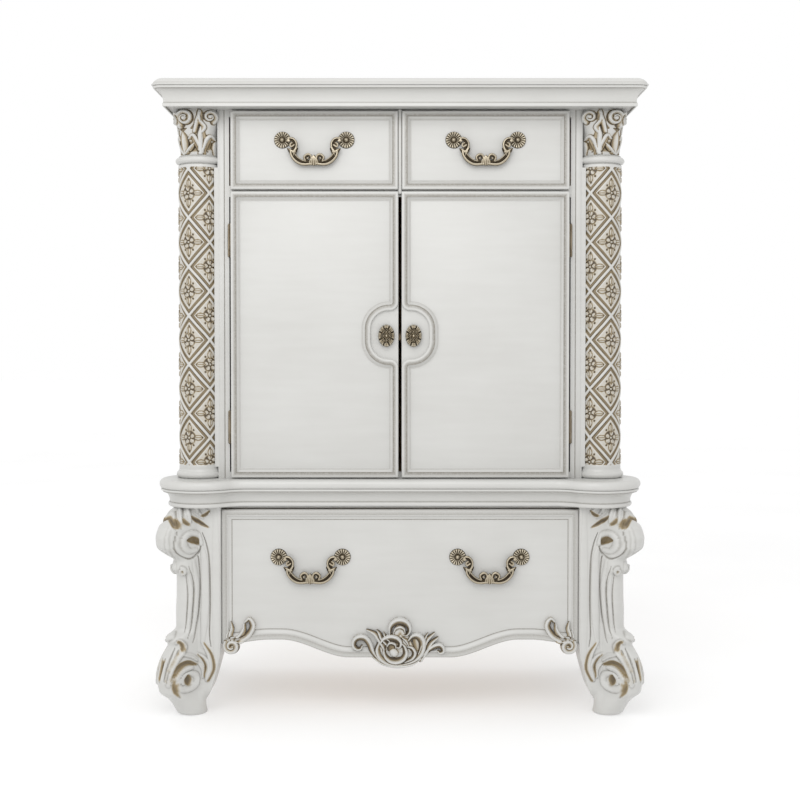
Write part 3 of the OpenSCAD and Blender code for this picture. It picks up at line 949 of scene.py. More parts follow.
@dataclass
class Crown:
    """Top board with a rolled edge, and the cove moulding under it."""

    shop: Workshop
    corner: float = 24.0
    corner_steps: int = 14

    def path(self, inset: float = 0.0) -> Array:
        """Plan path round the front and sides, from the back left to the back right."""
        low, high = box_mm("top_board")
        hx, yf, yb = high[0] - inset, low[1] + inset, high[1]
        corner = max(self.corner - inset, 0.05)
        turn = arc(-hx + corner, yf + corner, corner, corner, 180, 270, self.corner_steps)
        other = [(-x, y) for x, y in reversed(turn)]
        middle = [(x, yf) for x in np.linspace(-hx + 110, hx - 110, 9)]
        return np.array([(-hx, yb)] + turn + middle + other + [(hx, yb)])

    def build(self) -> None:
        """Makes both pieces."""
        low, high = box_mm("top_board")
        h = high[2] - low[2]
        roll = arc(-52, 3.5, 49, h - 3.5, 90, 8, 16)
        nose = arc(-3.0, 3.4, 3.0, 3.4, 0, -90, 5)
        profile = [(-55, 0), (-55, h)] + roll + nose
        edge = self.shop.sweep("top_board_edge", self.path, profile, on_plan(low[2]))
        slab = self.shop.slab("top_board_field", low + [54.9, 54.9, 0], high - [54.9, 0, 0])
        board = self.shop.join("top_board_rolled", [edge, slab])
        self.shop.hand_over(board, "carcass", "pearl_paint", "top_board")
        self.cove()

    def cove(self) -> None:
        """Makes the cove moulding under the top board."""
        low, high = box_mm("cornice_moulding")
        h = high[2] - low[2]
        bead = arc(-6.5, h - 3.2, 3.0, 3.0, 90, -90, 8)
        cove = arc(-9.5, 6.0, 18.5, h - 13.0, 90, 180, 16)
        foot = [(-28, 5.0), (-26.6, 4.4), (-26.0, 2.8), (-26.0, -3.0), (-27, -4.0), (-30, -4.0), (-31, 0)]
        profile = [(-54, 0), (-54, h)] + bead + [(-9.5, h - 6.6)] + cove + foot
        cove_ring = self.shop.sweep("cornice_cove", self.path, profile, on_plan(low[2]))
        inner = box_mm("upper_back")[1][0]
        outer, front = box_mm("top_board")[1][0] - 53.8, box_mm("top_board")[0][1] + 53.8
        frame = box_mm("face_rails")[1][1]
        under, over = low[2] + GAP, high[2] - GAP
        blocks = [self.shop.slab("cornice_block_front", [-outer, front, under], [outer, frame, over])]
        for side in Side:
            near, far = side.span(inner, outer)
            blocks.append(self.shop.slab(f"cornice_block_{side.word}", [near, frame, under],
                                         [far, high[1], over]))
        ring = self.shop.join("cornice_cove", [cove_ring] + blocks)
        self.shop.hand_over(ring, "carcass", "pearl_paint", "cornice_moulding")


@dataclass
class Waist:
    """Serpentine waist board with a lobe over each leg, and the cove moulding under it."""

    shop: Workshop
    lobe_r: float = 110.0
    join_r: float = 58.0

    def half_path(self) -> list[Point]:
        """Right half of the plan path, from the middle of the front to the back."""
        low, high = box_mm("waist_board")
        cx, cy = high[0] - self.lobe_r, low[1] + self.lobe_r
        front_y = low[1] + 45
        side_x = high[0] - 31
        r = self.join_r
        inner_cx = cx - math.sqrt((self.lobe_r + r) ** 2 - (front_y - r - cy) ** 2)
        start = math.degrees(math.atan2(front_y - r - cy, inner_cx - cx))
        front_turn = arc(inner_cx, front_y - r, r, r, 90, start + 180, 14)
        outer_cy = cy + math.sqrt((self.lobe_r + r) ** 2 - (side_x + r - cx) ** 2)
        end = math.degrees(math.atan2(outer_cy - cy, side_x + r - cx))
        lobe = arc(cx, cy, self.lobe_r, self.lobe_r, start + 360 if start < -180 else start, end, 44)
        side_turn = arc(side_x + r, outer_cy, r, r, end + 180, 180, 10)
        middle = [(x, front_y) for x in np.linspace(0, front_turn[0][0] - 20, 6)]
        return middle + front_turn + lobe[1:] + side_turn[1:] + [(side_x, high[1])]

    def path(self) -> Array:
        """Plan path round the front and sides, from the back left to the back right."""
        half = self.half_path()
        other = [(-x, y) for x, y in reversed(half[1:])]
        return np.array(other + half)

    def build(self) -> None:
        """Makes both pieces."""
        low, high = box_mm("waist_board")
        h = high[2] - low[2]
        mid = h / 2 - 1.0
        nose = arc(-11, mid, 11, h / 2 + 1.0, 90, 0, 10) + arc(-9, mid, 9, mid, 0, -90, 8)[1:]
        profile = [(-52, 0), (-52, h), (-30, h)] + nose
        board = self.shop.sweep("waist_board_edge", self.path(), profile, on_plan(low[2]))
        self.fill_board(board, h)
        self.shop.hand_over(board, "carcass", "pearl_paint", "waist_board")
        low, high = box_mm("waist_moulding")
        h = high[2] - low[2]
        bead = arc(-6.5, h - 3.0, 3.0, 3.0, 90, -90, 8)
        cove = arc(-8.5, 12.0, 17.0, h - 21.0, 90, 180, 14)
        foot = [(-25.5, 11.0)] + arc(-26.0, 5.5, 4.2, 5.5, 70, -90, 8)
        profile = [(-46, 0), (-46, h)] + bead + [(-8.5, h - 7.5)] + cove + foot
        ring = self.shop.sweep("waist_cove", self.path(), profile, on_plan(low[2]))
        self.shop.hand_over(ring, "carcass", "pearl_paint", "waist_moulding")

    def fill_board(self, board: Piece, h: float) -> None:
        """Fills the board inside its moulded edge with a flat slab."""
        low, high = box_mm("waist_board")
        field = ([-high[0] + 80, low[1] + 96, low[2]], [high[0] - 80, high[1], high[2] - 0.02])
        pieces = [board, self.shop.slab("waist_board_field", *field)]
        for side in Side:
            centre = (side.value * (high[0] - self.lobe_r) * MM, (low[1] + self.lobe_r) * MM,
                      (low[2] + h / 2) * MM)
            bpy.ops.object.select_all(action="DESELECT")
            size = {"radius": (self.lobe_r - 48) * MM, "depth": (h - GAP) * MM}
            bpy.ops.mesh.primitive_cylinder_add(vertices=48, location=centre, **size)
            bpy.ops.object.transform_apply(location=True, rotation=True, scale=True)
            pieces.append(self.shop.added(f"waist_plug_{side.word}"))
        self.shop.join("waist_board_edge", pieces)


@dataclass
class FrontFrames:
    """Frame mouldings and panels of the doors and drawers."""

    shop: Workshop
    band: float = 23.5
    plate_reach: float = 99.0
    plate_half: float = 86.5
    plate_band: float = 27.0
    plate_round: float = 58.0
    plate_corner: float = 9.0
    depth: float = 9.0
    wide_depth: float = 8.0
    seam: float = 442.0

    def section(self, height: float, band: float) -> list[Point]:
        """Section across a frame moulding, from the inner edge to the outer edge.

        Args:
            height: how far it stands off the panel.
            band: its width.

        Returns:
            The section's points about its middle.
        """
        half = band / 2
        inner = [(-half, -1.0), (-half, 0.6), (-half + 0.9, 1.2), (-half + 1.6, 1.0)]
        ogee = [(-half + 2.0 + (band * 0.46) * t, 1.0 + (height - 2.4) * (1 - math.cos(math.pi * t)) / 2)
                for t in np.linspace(0.0, 1.0, 9)]
        crest = half - band * 0.46
        quirk = [(-half + 2.4 + band * 0.46, height - 1.0), (crest - 3.4, height - 0.6),
                 (crest - 2.4, height - 2.6),
                 (crest - 1.6, height - 2.6), (crest - 0.8, height - 0.5)]
        bead = [(crest + 0.3, height)] + arc(half - 4.2, height - 4.0, 4.2, 4.0, 90, 0, 6) + [(half, -1.0)]
        return inner + ogee + quirk + bead

    def rectangle(self, low: Array, high: Array, inset: float) -> Array:
        """Corners of a rectangle seen from the front, inset, its outside on the right of the path."""
        x0, x1 = low[0] + inset, high[0] - inset
        z0, z1 = low[2] + inset, high[2] - inset
        return np.array([(x0, z0), (x1, z0), (x1, z1), (x0, z1)])

    def upper_drawer(self, side: Side) -> None:
        """Front of a small drawer: a panel with its frame moulding."""
        node = f"drawer_{side.word}_front"
        low, high = box_mm(node)
        face = low[1] + self.depth
        ease = np.array([0.4, 0, 0.4])
        panel = self.shop.slab(f"{node}_panel", [low[0], face, low[2]] + ease, high - ease)
        path = self.rectangle(low, high, self.band / 2)
        ring = self.shop.sweep(f"{node}_ring", path, self.section(self.depth, self.band), on_front(face),
                               True)
        piece = self.shop.join(f"{node}_moulded", [ring, panel])
        self.shop.smooth(piece, BOARD_ANGLE)
        self.shop.hand_over(piece, f"drawer_{side.word}", "pearl_paint", node)

    def door_path(self, low: Array, high: Array) -> Array:
        """Middle line of the right door's moulding: a rectangle that swings round the knob plate."""
        corners = self.rectangle(low, high, self.band / 2)
        x0, z1 = corners[3]
        mid = low[2] + (high[2] - low[2]) * 0.5
        pb = self.plate_band / 2
        reach, half = self.plate_reach - pb, self.plate_half - pb
        r, small = self.plate_round, self.plate_corner
        lower = [(x0, mid - half - small)] + arc(x0 + small, mid - half - small, small, small, 180, 90, 5)
        lower += arc(reach - r, mid - half + r, r, r, -90, 0, 16)
        upper = [(x, 2 * mid - z) for x, z in lower]
        return np.array([*corners[:3], (x0, z1)] + upper + lower[::-1])

    def door_moulding(self) -> Piece:
        """The right door's frame moulding."""
        low, high = box_mm("door_right_moulding")
        path = self.door_path(low, high)
        return self.shop.sweep("door_right_frame", path, self.section(self.depth, self.band),
                               on_front(high[1]), True)

    def doors(self) -> None:
        """Frame mouldings and panels of both doors."""
        right = self.door_moulding()
        left = self.shop.mirrored(right, "door_left_frame")
        for side, ring in ((Side.RIGHT, right), (Side.LEFT, left)):
            self.shop.hand_over(ring, f"door_{side.word}", "pearl_paint", f"door_{side.word}_moulding")
            low, high = box_mm(f"door_{side.word}_panel")
            panel = self.shop.board(f"door_{side.word}_board", low, high, 1.2, 3)
            self.shop.hand_over(panel, f"door_{side.word}", "pearl_paint", f"door_{side.word}_panel")

    def wide_edge(self, x: Array) -> Array:
        """Height of the wide drawer's scalloped lower edge."""
        away = np.abs(x)
        return 141 + 45 * smoothstep(away, 128, 298) - 10 * smoothstep(away, 330, 430)

    def wide_drawer(self) -> None:
        """Front of the wide drawer: scalloped board and frame moulding."""
        low, high = box_mm("drawer_wide_front")
        face = low[1] + self.wide_depth
        half, top = high[0], high[2]
        xs = np.linspace(-half, half, 73)
        edge = np.stack([xs, self.wide_edge(xs)], 1)
        board = self.plate("drawer_wide_board", [*map(tuple, edge), (half, top), (-half, top)], face, high[1])
        inset = self.plate_band / 2
        end, over = half - inset, top - inset
        lower = edge - mitres(edge, False) * inset
        lower = lower[np.abs(lower[:, 0]) < end]
        end_z = edge[-1, 1] + inset
        loop = np.vstack([[(-end, end_z)], lower, [(end, end_z), (end, over), (-end, over)]])
        section = self.section(self.wide_depth, self.plate_band)
        ring = self.shop.sweep("drawer_wide_ring", loop, section, on_front(face), True)
        piece = self.shop.join("drawer_wide_moulded", [ring, board])
        self.shop.smooth(piece, BOARD_ANGLE)
        self.shop.hand_over(piece, "drawer_wide", "pearl_paint", "drawer_wide_front")

    def plate(self, name: str, outline: Sequence[Point], front: float, back: float) -> Piece:
        """A flat board cut to an outline seen from the front."""
        ring = np.array([[(x, y, z) for x, z in list(outline) + [outline[0]]] for y in (front, back)])
        obj = self.shop.sheet(name, ring, {"glaze": np.zeros(ring.shape[:2])})
        self.shop.close(obj)
        return obj

    def facings(self) -> None:
        """Thin strips over the edges that show between the fronts, strips beside the columns, and a dark line
        of painted shade at the inner edge of each column strip.
        """
        low, high = box_mm("drawer_right_front")
        face, side_x = low[1] + self.depth, low[0] - 1.2
        self.strip("middle_facing", [-side_x, face - 3, low[2] - 10], [side_x, face + 8.9, high[2] + 4])
        low, high = box_mm("drawer_wide_front")
        top = box_mm("waist_moulding")[0][2]
        self.strip("waist_facing", [low[0], low[1] + 12, high[2] + 2.6], [high[0], low[1] + 22, top - 0.1])
        stile, pilaster = box_mm("face_stiles"), box_mm("pilasters")
        front = pilaster[0][1]
        for side in Side:
            near, far = side.span(self.seam + 0.9, self.seam + 13.5)
            self.strip(f"pilaster_strip_{side.word}", [near, front - 1.6, pilaster[0][2]],
                       [far, front + 0.5, pilaster[1][2]])
            # Painted shade: a thin flat slab, painted fully dark, stands for the shadow in the seam beside
            # each column strip.
            near, far = side.span(self.seam - 0.9, self.seam + 0.9)
            line = self.shop.slab(f"stile_seam_{side.word}", [near, front - 0.25, stile[0][2]],
                                  [far, front + 0.5, stile[1][2]], 1.0)
            self.shop.hand_over(line, "carcass", "pearl_paint")

    def strip(self, name: str, low: Sequence[float], high: Sequence[float]) -> None:
        """A thin painted strip on the carcass."""
        self.shop.hand_over(self.shop.board(name, low, high, 0.8, 2), "carcass", "pearl_paint")

    def build(self) -> None:
        """Makes every front."""
        for side in Side:
            self.upper_drawer(side)
        self.doors()
        self.wide_drawer()
        self.facings()


# --- Columns ---


@dataclass
class LatticeColumn:
    """Round shaft carved with a diagonal lattice of flat ribs round sunk diamonds with a flower each."""

    shop: Workshop
    radius: float = 54.0
    half_wide: float = 56.55
    half_tall: float = 61.4
    first_crossing: float = 4.3
    fine_columns: int = 176
    coarse_columns: int = 14
    rows: int = 440
    hidden: tuple[float, float] = (100.0, 172.0)

    def flower(self, dx: Array, dz: Array) -> tuple[Array, Array]:
        """Height and gilding of the flower and leaves inside one diamond.

        Args:
            dx: distance from the diamond's centre round the shaft, in millimetres.
            dz: distance from it along the shaft, in millimetres.

        Returns:
            Height over the sunk ground, and gilding.
        """
        r = np.hypot(dx, dz)
        turn = np.arctan2(dz, dx)
        lobe = np.abs(np.cos(2.5 * turn + 0.4))
        tip = 12.0 + 5.5 * lobe + 1.2 * np.sin(3 * turn)
        petal = smoothstep(tip - r, 0, 2.6) * smoothstep(r, 3.8, 5.6)
        split = smoothstep(lobe, 0.32, 0.6)
        curl = 0.7 + 0.3 * np.cos(10 * turn)
        height = 3.6 * petal * split * curl
        height += 2.6 * smoothstep(3.6 - r, 0, 1.6) - 1.2 * smoothstep(1.6 - r, 0, 1.0)
        gilt = 1.0 - smoothstep(np.abs(r - 4.6), 0.5, 1.8)
        round_it = smoothstep(21 - r, 0, 5) * smoothstep(r, 5, 7)
        gilt = np.maximum(gilt, 0.95 * round_it * (1 - 0.95 * petal * split))
        for sx, sz, long, wide in ((1, 0, 10, 5.5), (-1, 0, 10, 5.5), (0, 1, 5.5, 8.5), (0, -1, 5.5, 8.5)):
            lx, lz = dx - sx * 25, dz - sz * 24
            bud = 1 - (lx / long) ** 2 - (lz / wide) ** 2
            vein = np.abs(lz if sx else lx)
            swell = 2.6 * smoothstep(bud, 0, 0.7) * (0.6 + 0.4 * smoothstep(vein, 0.3, 1.6))
            height = np.maximum(height, swell)
            rim = 0.85 * smoothstep(np.abs(bud + 0.25), 0.75, 0.1)
            gilt = np.where(bud > 0.1, 0.3 * gilt, np.maximum(gilt, rim))
            gilt = np.maximum(gilt, 0.75 * smoothstep(vein, 1.4, 0.5) * smoothstep(bud, 0.1, 0.4))
        for hx, hz in ((0, 35), (0, -35), (12, 19), (-12, 19), (12, -19), (-12, -19), (37, 0), (-37, 0)):
            hole = np.hypot(dx - hx, dz - hz)
            gilt = np.maximum(gilt, 1.0 - smoothstep(hole, 1.8, 3.6))
            height -= 2.4 * (1 - smoothstep(hole, 1.5, 3.2))
        return height, np.clip(gilt, 0, 1)

    def carve(self, along: Array, up: Array) -> tuple[Array, Array]:
        """Height over the ribs' surface and gilding.

        Args:
            along: distance round the shaft from its front outer diamond, in millimetres.
            up: distance down the shaft from the ring, in millimetres.

        Returns:
            Height and gilding.
        """
        u, w = along / self.half_wide, (up - self.first_crossing) / self.half_tall
        p, q = (u + w) / 2, (u - w) / 2
        fp, fq = p - np.floor(p) - 0.5, q - np.floor(q) - 0.5
        du, dw = fp + fq, fp - fq
        slant = self.half_wide * self.half_tall / math.hypot(self.half_wide, self.half_tall)
        edge = (1 - np.abs(du) - np.abs(dw)) * slant
        rib = 1 - smoothstep(edge, 3.0, 3.9)
        ground = smoothstep(edge, 9.6, 10.8)
        height = -3.4 * (1 - rib) + 1.6 * ground
        height += 0.6 * rib * (1 - (np.clip(edge, 0, 3.6) / 3.6) ** 2)
        flower, gilt = self.flower(du * self.half_wide, dw * self.half_tall)
        inside = smoothstep(edge, 12.0, 14.0)
        height += inside * flower
        trench = (1 - rib) * (1 - ground)
        # The trench is darker along its edges, at the foot of the ribs and of the raised ground: antiquing
        # and painted shade in the corners.
        borders = np.exp(-(((edge - 4.2) / 1.2) ** 2)) + 0.8 * np.exp(-(((edge - 9.8) / 1.0) ** 2))
        deep = 0.6 + 0.38 * borders
        return height, np.maximum.reduce([deep * trench, gilt * inside, 0.2 * inside])

    def build(self) -> None:
        """Makes both shafts."""
        low, high = box_mm("column_right")
        centre = (low + high) / 2
        start, stop = self.hidden
        seen = np.linspace(stop - 360, start, self.fine_columns, endpoint=False)
        unseen = np.linspace(start, stop, self.coarse_columns + 1)
        turn = np.radians(np.concatenate([seen, unseen]))
        z = np.linspace(low[2] - 1, high[2] + 1, self.rows)
        angle, level = np.meshgrid(turn, z)
        along = (angle - math.radians(-66)) * self.radius
        height, gilt = self.carve(along, high[2] - level)
        # Crevices darken towards umber: antiquing and painted shade.
        crevice = np.clip((blurred(height, 2) - height) / 1.2, 0, 1)
        gilt = np.maximum(gilt, 0.95 * smoothstep(crevice, 0.2, 0.9))
        fade = smoothstep(level, low[2] + 3, low[2] + 9) * smoothstep(high[2] - level, 1, 4)
        height *= fade
        gilt *= smoothstep(level, low[2] + 4, low[2] + 7)
        radius = self.radius - 0.4 + height
        places = np.stack([centre[0] + radius * np.cos(angle), centre[1] + radius * np.sin(angle), level], -1)
        places[:, -1] = places[:, 0]
        marks = {"gilt": gilt, "glaze": np.zeros_like(gilt)}
        self.shop.hand_over_pair(self.shop.shell("column_right_carved", places, marks), "column_right")


# --- Legs ---


def cut(path: Sequence[Point], width: float, depth: float, gilt: float = 0.3) -> Stroke:
    """A groove or a gilded hollow, tapering towards both ends."""
    return Stroke(path, [width * 0.35, width, width, width * 0.35], [-depth, -depth], 0, 0, gilt)


def dot(x: float, z: float, radius: float, height: float, gilt: float = 0.0, rim: float = 0.0, *,
        end: Point | None = None) -> Stroke:
    """A raised round blob at (x, z), drawn out towards end where that is given."""
    return Stroke([(x, z), end or (x + 0.2, z)], [radius, radius], [height, height], 0, 0, gilt, rim)


def leaf(path: Sequence[Point], width: float, height: float, gilt: float = 0.6, lean: float = 0.3) -> Stroke:
    """A raised leaf with a gilded hollow, full at its root and pointed at its tip."""
    return Stroke(path, [width * 0.8, width, width * 0.9, width * 0.4], [height, height, height * 0.7], 0.7,
                  lean, gilt, 0.35)


def rib(path: Sequence[Point], width: float, height: float) -> Stroke:
    """A plain rounded rib, fading towards both ends."""
    return Stroke(path, [width * 0.4, width, width, width * 0.4],
                  [height * 0.3, height, height, height * 0.3], 0, 0, 0)


@dataclass
class ScrollLeg:
    """Diagonal leg: a post with a rolled scroll at its top and foot, symmetric about its diagonal."""

    shop: Workshop
    centre: Point = (505.0, -150.0)
    inner: float = 449.0
    front: float = -195.0
    roll: float = 31.0
    outer: float = 609.0
    foremost: float = -254.0
    top: float = 523.0
    rows: int = 340
    silhouette: Sequence[Point] = (
        (523, 556), (513, 568), (494, 586), (476, 600), (451, 605.5), (425, 602), (410, 586), (393, 568),
        (380, 571), (366, 573), (354, 562), (282, 562), (216, 564), (203, 580), (194, 586), (178, 581),
        (150, 596), (100, 605.5), (63, 600), (46, 584), (30, 572), (8, 560), (0, 556))
    inner_edge: Sequence[Point] = ((523, 449), (187, 449), (143, 451.5), (100, 462), (62, 473), (19, 482),
                                   (3, 488), (0, 490))

    def strokes(self) -> list[Stroke]:
        """The carving, as (outwards from the leg's inner edge, height) in millimetres."""
        return [
            rib([(48, 425), (41, 385), (39, 300), (42, 230), (47, 170)], 10, 4.5),
            rib([(66, 392), (59, 328), (62, 266), (69, 200)], 6, 4.0),
            rib([(80, 366), (73, 318), (76, 262), (80, 215)], 5, 3.5),
            rib([(108, 345), (112, 380), (121, 410), (124, 450), (113, 492)], 4, 3.0),
            rib([(14, 515), (12, 400), (12, 250), (13, 120)], 9, 1.5),
            cut([(62, 452), (50, 438), (52, 415), (66, 398), (80, 395), (98, 405), (107, 422), (106, 445),
                 (101, 463), (97, 478)], 3.0, 4.0, 0.3),
            cut([(46, 458), (36, 430), (28.8, 385), (26.7, 287), (28.8, 204), (25, 171)], 2.6, 3.4, 0.22),
            cut([(58, 402), (55, 390), (51.4, 328), (55.5, 266), (63, 204), (68, 184)], 2.4, 3.2, 0.2),
            cut([(76, 376), (66, 328), (68, 266), (73, 221), (79, 196)], 2.2, 3.0, 0.2),
            cut([(86, 361), (81, 307), (84, 245), (88, 212)], 2.2, 2.8, 0.2),
            Stroke([(50, 432), (57, 453), (73, 459), (85, 448), (86, 430), (76, 415), (62, 415)], [7, 7, 6],
                   [6, 6, 4], 0.1, 0, 0),
            cut([(56, 430), (64, 440), (78, 442)], 12, 7, 0.72),
            leaf([(122, 521), (116, 506), (105, 486)], 7, 7, 0.0),
            leaf([(102, 521), (98, 506), (93, 484)], 7, 8, 0.0),
            leaf([(84, 521), (79, 506), (74, 486)], 7, 8, 0.0),
            leaf([(64, 521), (57, 509), (44, 495)], 7, 7, 0.0),
            leaf([(44, 521), (36, 514), (27, 506)], 6, 6, 0.0),
            Stroke(spiral(93, 364, 9, 3, 90, 1.1), [5, 4, 3], [6, 6, 5], 0.2, 0, 0.3, 0.2),
            cut([(91, 364), (93, 366)], 4.5, 4, 0.75),
            dot(118, 374, 9, 5, end=(124, 371)),
            Stroke([(120, 206), (130, 203), (140, 196)], [10, 13, 10], [7, 11, 8], 0, 0, 0),
            leaf([(122, 88), (117, 120), (104, 148), (92, 165), (88, 180), (97, 193), (106, 187)], 7, 8, 0.45,
                 -0.3),
            cut([(104, 194), (95, 188), (91, 176), (88, 166)], 6, 3, 0.8),
            cut([(110, 176), (120, 150), (130, 120), (133, 96)], 3.4, 4, 0.0),
            cut([(100, 172), (110, 146), (121, 122), (127, 92)], 3.2, 4, 0.0),
            leaf([(60, 140), (72, 152), (84, 158), (88, 165)], 5, 6, 0.3),
            Stroke(spiral(78, 93, 31, 12, 100, -1.35, 18), [6, 8, 7, 5], [7, 8, 7, 5], 0.25, -0.3, 0.0),
            cut([(110, 106), (98, 128), (80, 136), (60, 127)], 9, 5, 0.78),
            cut([(105, 97), (107, 75), (97, 52)], 7.5, 5, 0.78),
            cut([(80, 106), (79, 93), (77, 80)], 11, 6, 0.8),
            leaf([(34, 90), (23, 118), (28, 150), (47, 184)], 8.5, 8, 0.8, 0.3),
            leaf([(38, 100), (33, 122), (42, 142), (58, 154)], 7.5, 7, 0.8, 0.3),
            leaf([(44, 96), (44, 112), (50, 124), (60, 132)], 5, 6, 0.35, 0.3),
            cut([(133, 151), (143, 122), (149, 88), (144, 58)], 4.5, 5, 0.95),
            cut([(132, 500), (120, 496), (110, 484), (103, 472)], 7.0, 3, 0.9),
            cut([(106, 498), (99, 486), (92, 472)], 5.5, 3, 0.85),
            cut([(90, 500), (82, 486), (72, 478)], 5.5, 3, 0.85),
            cut([(72, 502), (60, 490), (46, 480), (30, 471)], 6.5, 3, 0.9),
            cut([(50, 500), (38, 503), (27, 514)], 5.0, 3, 0.85),
        ]

    def reach(self, turn: Array, z: float) -> Array:
        """Distance from the leg's centre line to its plain surface.

        Args:
            turn: directions seen from above, in radians from the diagonal.
            z: height, in millimetres.

        Returns:
            The distances, in millimetres.
        """
        cx, cy = self.centre
        levels = [p[0] for p in self.silhouette][::-1]
        outer = np.interp(z, levels, [p[1] for p in self.silhouette][::-1])
        inner = np.interp(z, [p[0] for p in self.inner_edge][::-1], [p[1] for p in self.inner_edge][::-1])
        along = max((outer - cx - self.roll) * math.sqrt(2), 0.0)
        sin, cos = np.abs(np.sin(turn)), np.cos(turn)
        side = self.roll / np.maximum(sin, 1e-6)
        end = along * cos + np.sqrt(np.maximum(self.roll**2 - (along * sin) ** 2, 0))
        scroll = np.where(cos > 0, np.where(side * cos <= along, side, end), self.roll)
        dx, dy = np.cos(turn - DIAGONAL), np.sin(turn - DIAGONAL)
        x_high, y_low = cx + cy - self.front, self.front
        y_high = cx + cy - inner
        wide = np.where(dx > 0, (x_high - cx) / np.maximum(dx, 1e-6), (inner - cx) / np.minimum(dx, -1e-6))
        deep = np.where(dy > 0, (y_high - cy) / np.maximum(dy, 1e-6), (y_low - cy) / np.minimum(dy, -1e-6))
        plain = np.maximum(np.minimum(wide, deep), scroll)
        ahead, round_r = 27.0 + 0.5 * z, 38.0 + 0.12 * z
        foot = ahead * cos + np.sqrt(np.maximum(round_r**2 - (ahead * sin) ** 2, 0))
        share = 1 - smoothstep(np.array(z), 2, 66)
        return plain * (1 - share) + foot * share

    def surface(self) -> tuple[Array, Array, Array]:
        """Plain surface of the leg as rows of places, and each place's position on the carving's drawing."""
        weights_at = np.linspace(-math.pi, math.pi, 721)
        density = 1 + 2.4 * (1 - smoothstep(np.abs(weights_at), math.radians(95), math.radians(120)))
        total = np.concatenate([[0], np.cumsum((density[1:] + density[:-1]) / 2)])
        turn = np.interp(np.linspace(0, total[-1], 280), total, weights_at)
        levels = np.linspace(0, self.top, self.rows)
        even = np.linspace(-math.pi, math.pi, 360, endpoint=False)
        blur = np.exp(-((np.arange(-8, 9) / 2.6) ** 2))
        blur /= blur.sum()
        radius = np.array([self.reach(even, z) for z in levels])
        radius = sum(w * np.roll(radius, k, 1) for k, w in zip(range(-8, 9), blur))
        radius = np.array([np.interp(turn, np.append(even, math.pi),
                                     np.append(row, row[0])) for row in radius])
        smooth = np.pad(radius, ((3, 3), (0, 0)), "edge")
        radius = sum(smooth[k : k + self.rows] for k in range(7)) / 7
        level, angle = np.meshgrid(levels, turn, indexing="ij")
        shrink = np.clip(level / 7.0, 0, 1)
        radius = radius * (0.86 + 0.14 * np.sqrt(1 - (1 - shrink) ** 2))
        x = self.centre[0] + radius * np.cos(angle - DIAGONAL)
        y = self.centre[1] + radius * np.sin(angle - DIAGONAL)
        facing_front = angle < 0
        away = np.where(facing_front, x, sum(self.centre) - y) - self.inner
        return np.stack([x, y, level], -1), away, level

    def build(self) -> None:
        """Makes both legs."""
        places, away, level = self.surface()
        relief = Relief(away, level)
        relief.add(self.strokes())
        height, gilt, _ = relief.grids(2, 3.2)
        height, gilt = 0.5 * (height + blurred(height, 1)), blurred(gilt, 2)
        round_step = np.gradient(places, axis=1)
        round_step[:, 0] = round_step[:, -1] = (places[:, 1] - places[:, -2]) / 2
        up_step = np.gradient(places, axis=0)
        normal = np.cross(round_step, up_step)
        normal /= np.maximum(np.linalg.norm(normal, axis=2, keepdims=True), TINY)
        back = smoothstep(places[..., 0] - places[..., 1], 560, 600)
        height *= smoothstep(self.top - level, 0, 4) * back
        places = places + normal * height[..., None]
        places[..., 0] = np.clip(places[..., 0], self.inner, self.outer)
        places[..., 1] = np.maximum(places[..., 1], self.foremost)
        places[:, -1] = places[:, 0]
        shade = np.clip((blurred(height, 2) - height) / 2.0 - height / 9, 0, 0.85) * (gilt < 0.35) * back
        marks = {"gilt": gilt * smoothstep(gilt, 0.16, 0.5) * back, "glaze": shade}
        self.shop.hand_over_pair(self.shop.shell("leg_right_carved", places, marks), "front_leg_right")


# --- Carvings on the wide drawer ---


